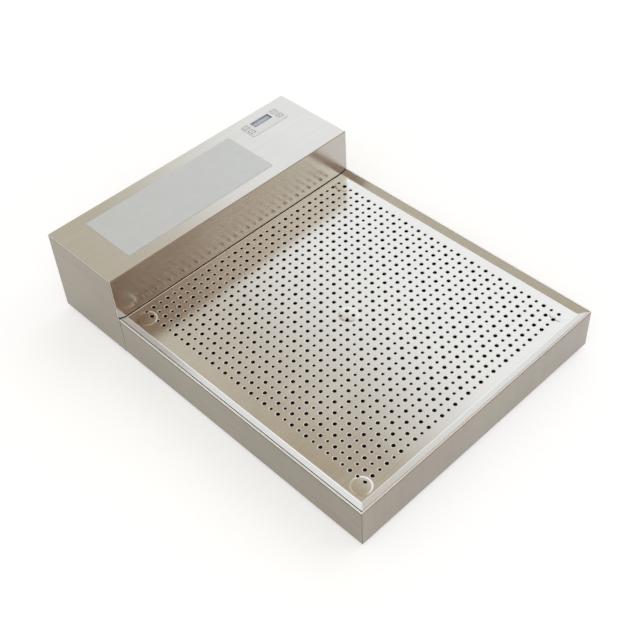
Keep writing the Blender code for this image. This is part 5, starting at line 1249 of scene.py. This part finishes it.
# Painted shade: a near-black finish for the posts' tops, under the holes.
painted_shade_post_top = moulded_finish("painted_shade_post_top", (0.005, 0.005, 0.005), 0.9, 1500.0, 0.15, 0.1, specular=0.1)
post_moulding = moulded_finish("post_moulding", (0.62, 0.61, 0.57), 0.45, 1100.0, 0.05, 0.15)
for name in ("front_left", "front_right", "centre", "back_left", "back_right"):
    node = "plate_post_" + name
    base, top = (corner.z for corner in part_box(node))
    spool = [*((radius, base + rise) for radius, rise in SPOOL_FOOT),
             *((radius, top - drop) for radius, drop in SPOOL_HEAD)]
    post = standing(node, spool, 36)
    # The top band of each post gets painted shade.
    for face in post.faces:
        face.material_index = 1 if face.calc_center_median().z > top - SHADED_TOP_DEPTH else 0
    post_piece = make_piece("spool_" + name, post, (post_moulding, painted_shade_post_top), node)
    shade_sheet(post_piece, sharp=50.0)

# %% [markdown]
# ## What the housing hides
# The blowers, the heaters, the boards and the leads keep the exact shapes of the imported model, because they
# have to fit each other. Each is copied, its loose triangles are merged into clean faces, its edges are
# softened as a moulding's are, and the copy stands for the original.

# %% A softened copy of a part
def soften(name, finish, body="shell", radius=0.0003, sharp=35.0):
    """A merged copy of a node with softened edges and its own finish."""
    builder = bmesh.new()
    builder.from_mesh(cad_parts[name].data)
    bmesh.ops.remove_doubles(builder, verts=builder.verts, dist=0.000005)
    bmesh.ops.dissolve_limit(builder, angle_limit=math.radians(1.0), verts=builder.verts, edges=builder.edges,
                             use_dissolve_boundaries=False, delimit=set())
    inside_out = builder.calc_volume() < 0
    if radius:
        round_edges(builder, radius, 2, sharper_than=sharp)
    if inside_out:
        bmesh.ops.reverse_faces(builder, faces=builder.faces)
    shade_sheet(make_piece("fine_" + name, builder, (finish,), name, body=body), sharp=sharp)


grey_moulding = moulded_finish("grey_moulding", (0.30, 0.31, 0.32), 0.48, 1200.0, 0.06, 0.18)
wheel_moulding = moulded_finish("wheel_moulding", (0.075, 0.078, 0.082), 0.40, 1200.0, 0.08, 0.15)
enamel = moulded_finish("motor_paint", (0.16, 0.19, 0.23), 0.38, 700.0, 0.08, 0.3)
cast_aluminium = moulded_finish("cast_aluminium", (0.70, 0.70, 0.69), 0.42, 1600.0, 0.10, 0.3, metallic=1.0)
ceramic_body = moulded_finish("glazed_ceramic", (0.72, 0.69, 0.62), 0.30, 900.0, 0.05, 0.1)
board_resin = moulded_finish("board_resin", (0.035, 0.19, 0.085), 0.35, 2200.0, 0.18, 0.12)
ground_steel = moulded_finish("ground_steel", (0.55, 0.545, 0.53), 0.26, 2600.0, 0.10, 0.1, metallic=1.0)
lead_rubber = moulded_finish("lead_rubber", (0.035, 0.034, 0.034), 0.55, 1500.0, 0.12, 0.2)
ribbon_sleeve = moulded_finish("ribbon_sleeve", (0.42, 0.43, 0.45), 0.5, 1500.0, 0.08, 0.2)

for side in SIDES:
    soften("duct_collar_" + side, grey_moulding)
    soften("scroll_casing_" + side, grey_moulding, radius=0.0004, sharp=50.0)
    soften("inlet_ring_" + side, grey_moulding, sharp=50.0)
    soften("heater_block_" + side, cast_aluminium, radius=0.0002)
    soften("blower_wheel_" + side, wheel_moulding, body="rotor", radius=0.0)
soften("fan_shaft", ground_steel, body="rotor", radius=0.0004, sharp=50.0)
soften("fan_motor", enamel, radius=0.0008, sharp=50.0)
soften("thermal_cutout", ceramic_body, radius=0.0004, sharp=50.0)
soften("control_board", board_resin, radius=0.0002)
soften("power_board", board_resin)
soften("terminal_block", black_moulding, radius=0.0004)
for row in ("front", "back"):
    for side in SIDES:
        soften("board_standoff_%s_%s" % (row, side), ground_steel, radius=0.0002)
soften("inlet_lead", lead_rubber, radius=0.0, sharp=60.0)
soften("motor_lead", lead_rubber, radius=0.0, sharp=60.0)
soften("panel_ribbon", ribbon_sleeve, radius=0.0, sharp=60.0)

# %% [markdown]
# The filter mats show through the slots at the back. They are open foam, so their finish is a rough, dark
# surface of small pores: a Voronoi pattern paints shade into each pore's colour and pushes it inwards.

# %% Cut the filter mats
foam, tree, shader = new_finish("filter_pores")
voronoi = add_node(tree, "TexVoronoi", feature="F1", Vector=place_of(tree), Scale=620.0)
pores = voronoi.outputs["Distance"]
# Painted shade: the colour is darker towards the middle of each pore.
depth = remap(tree, pores, 0.1, 0.6, 0.35, 1.2)
fill(tree, shader, {
    "Base Color": vector_of(tree, "SCALE", (0.085, 0.088, 0.092), scale=depth),
    "Normal": relief_of(tree, pores, 0.7, 0.0006), "Roughness": 0.9,
})
for name in FILTERS:
    mat = rounded_block(name, 0.0014, 4)
    shade_sheet(make_piece(name.replace("filter", "mat"), mat, (foam,), name), sharp=50.0)

# %% Make the base sheet
base_piece = make_piece("base_sheet", rounded_block("base_plate", 0.0003, 2), (side_steel,),
                        "base_plate")
lay_grain(base_piece, along="x")
shade_sheet(base_piece)
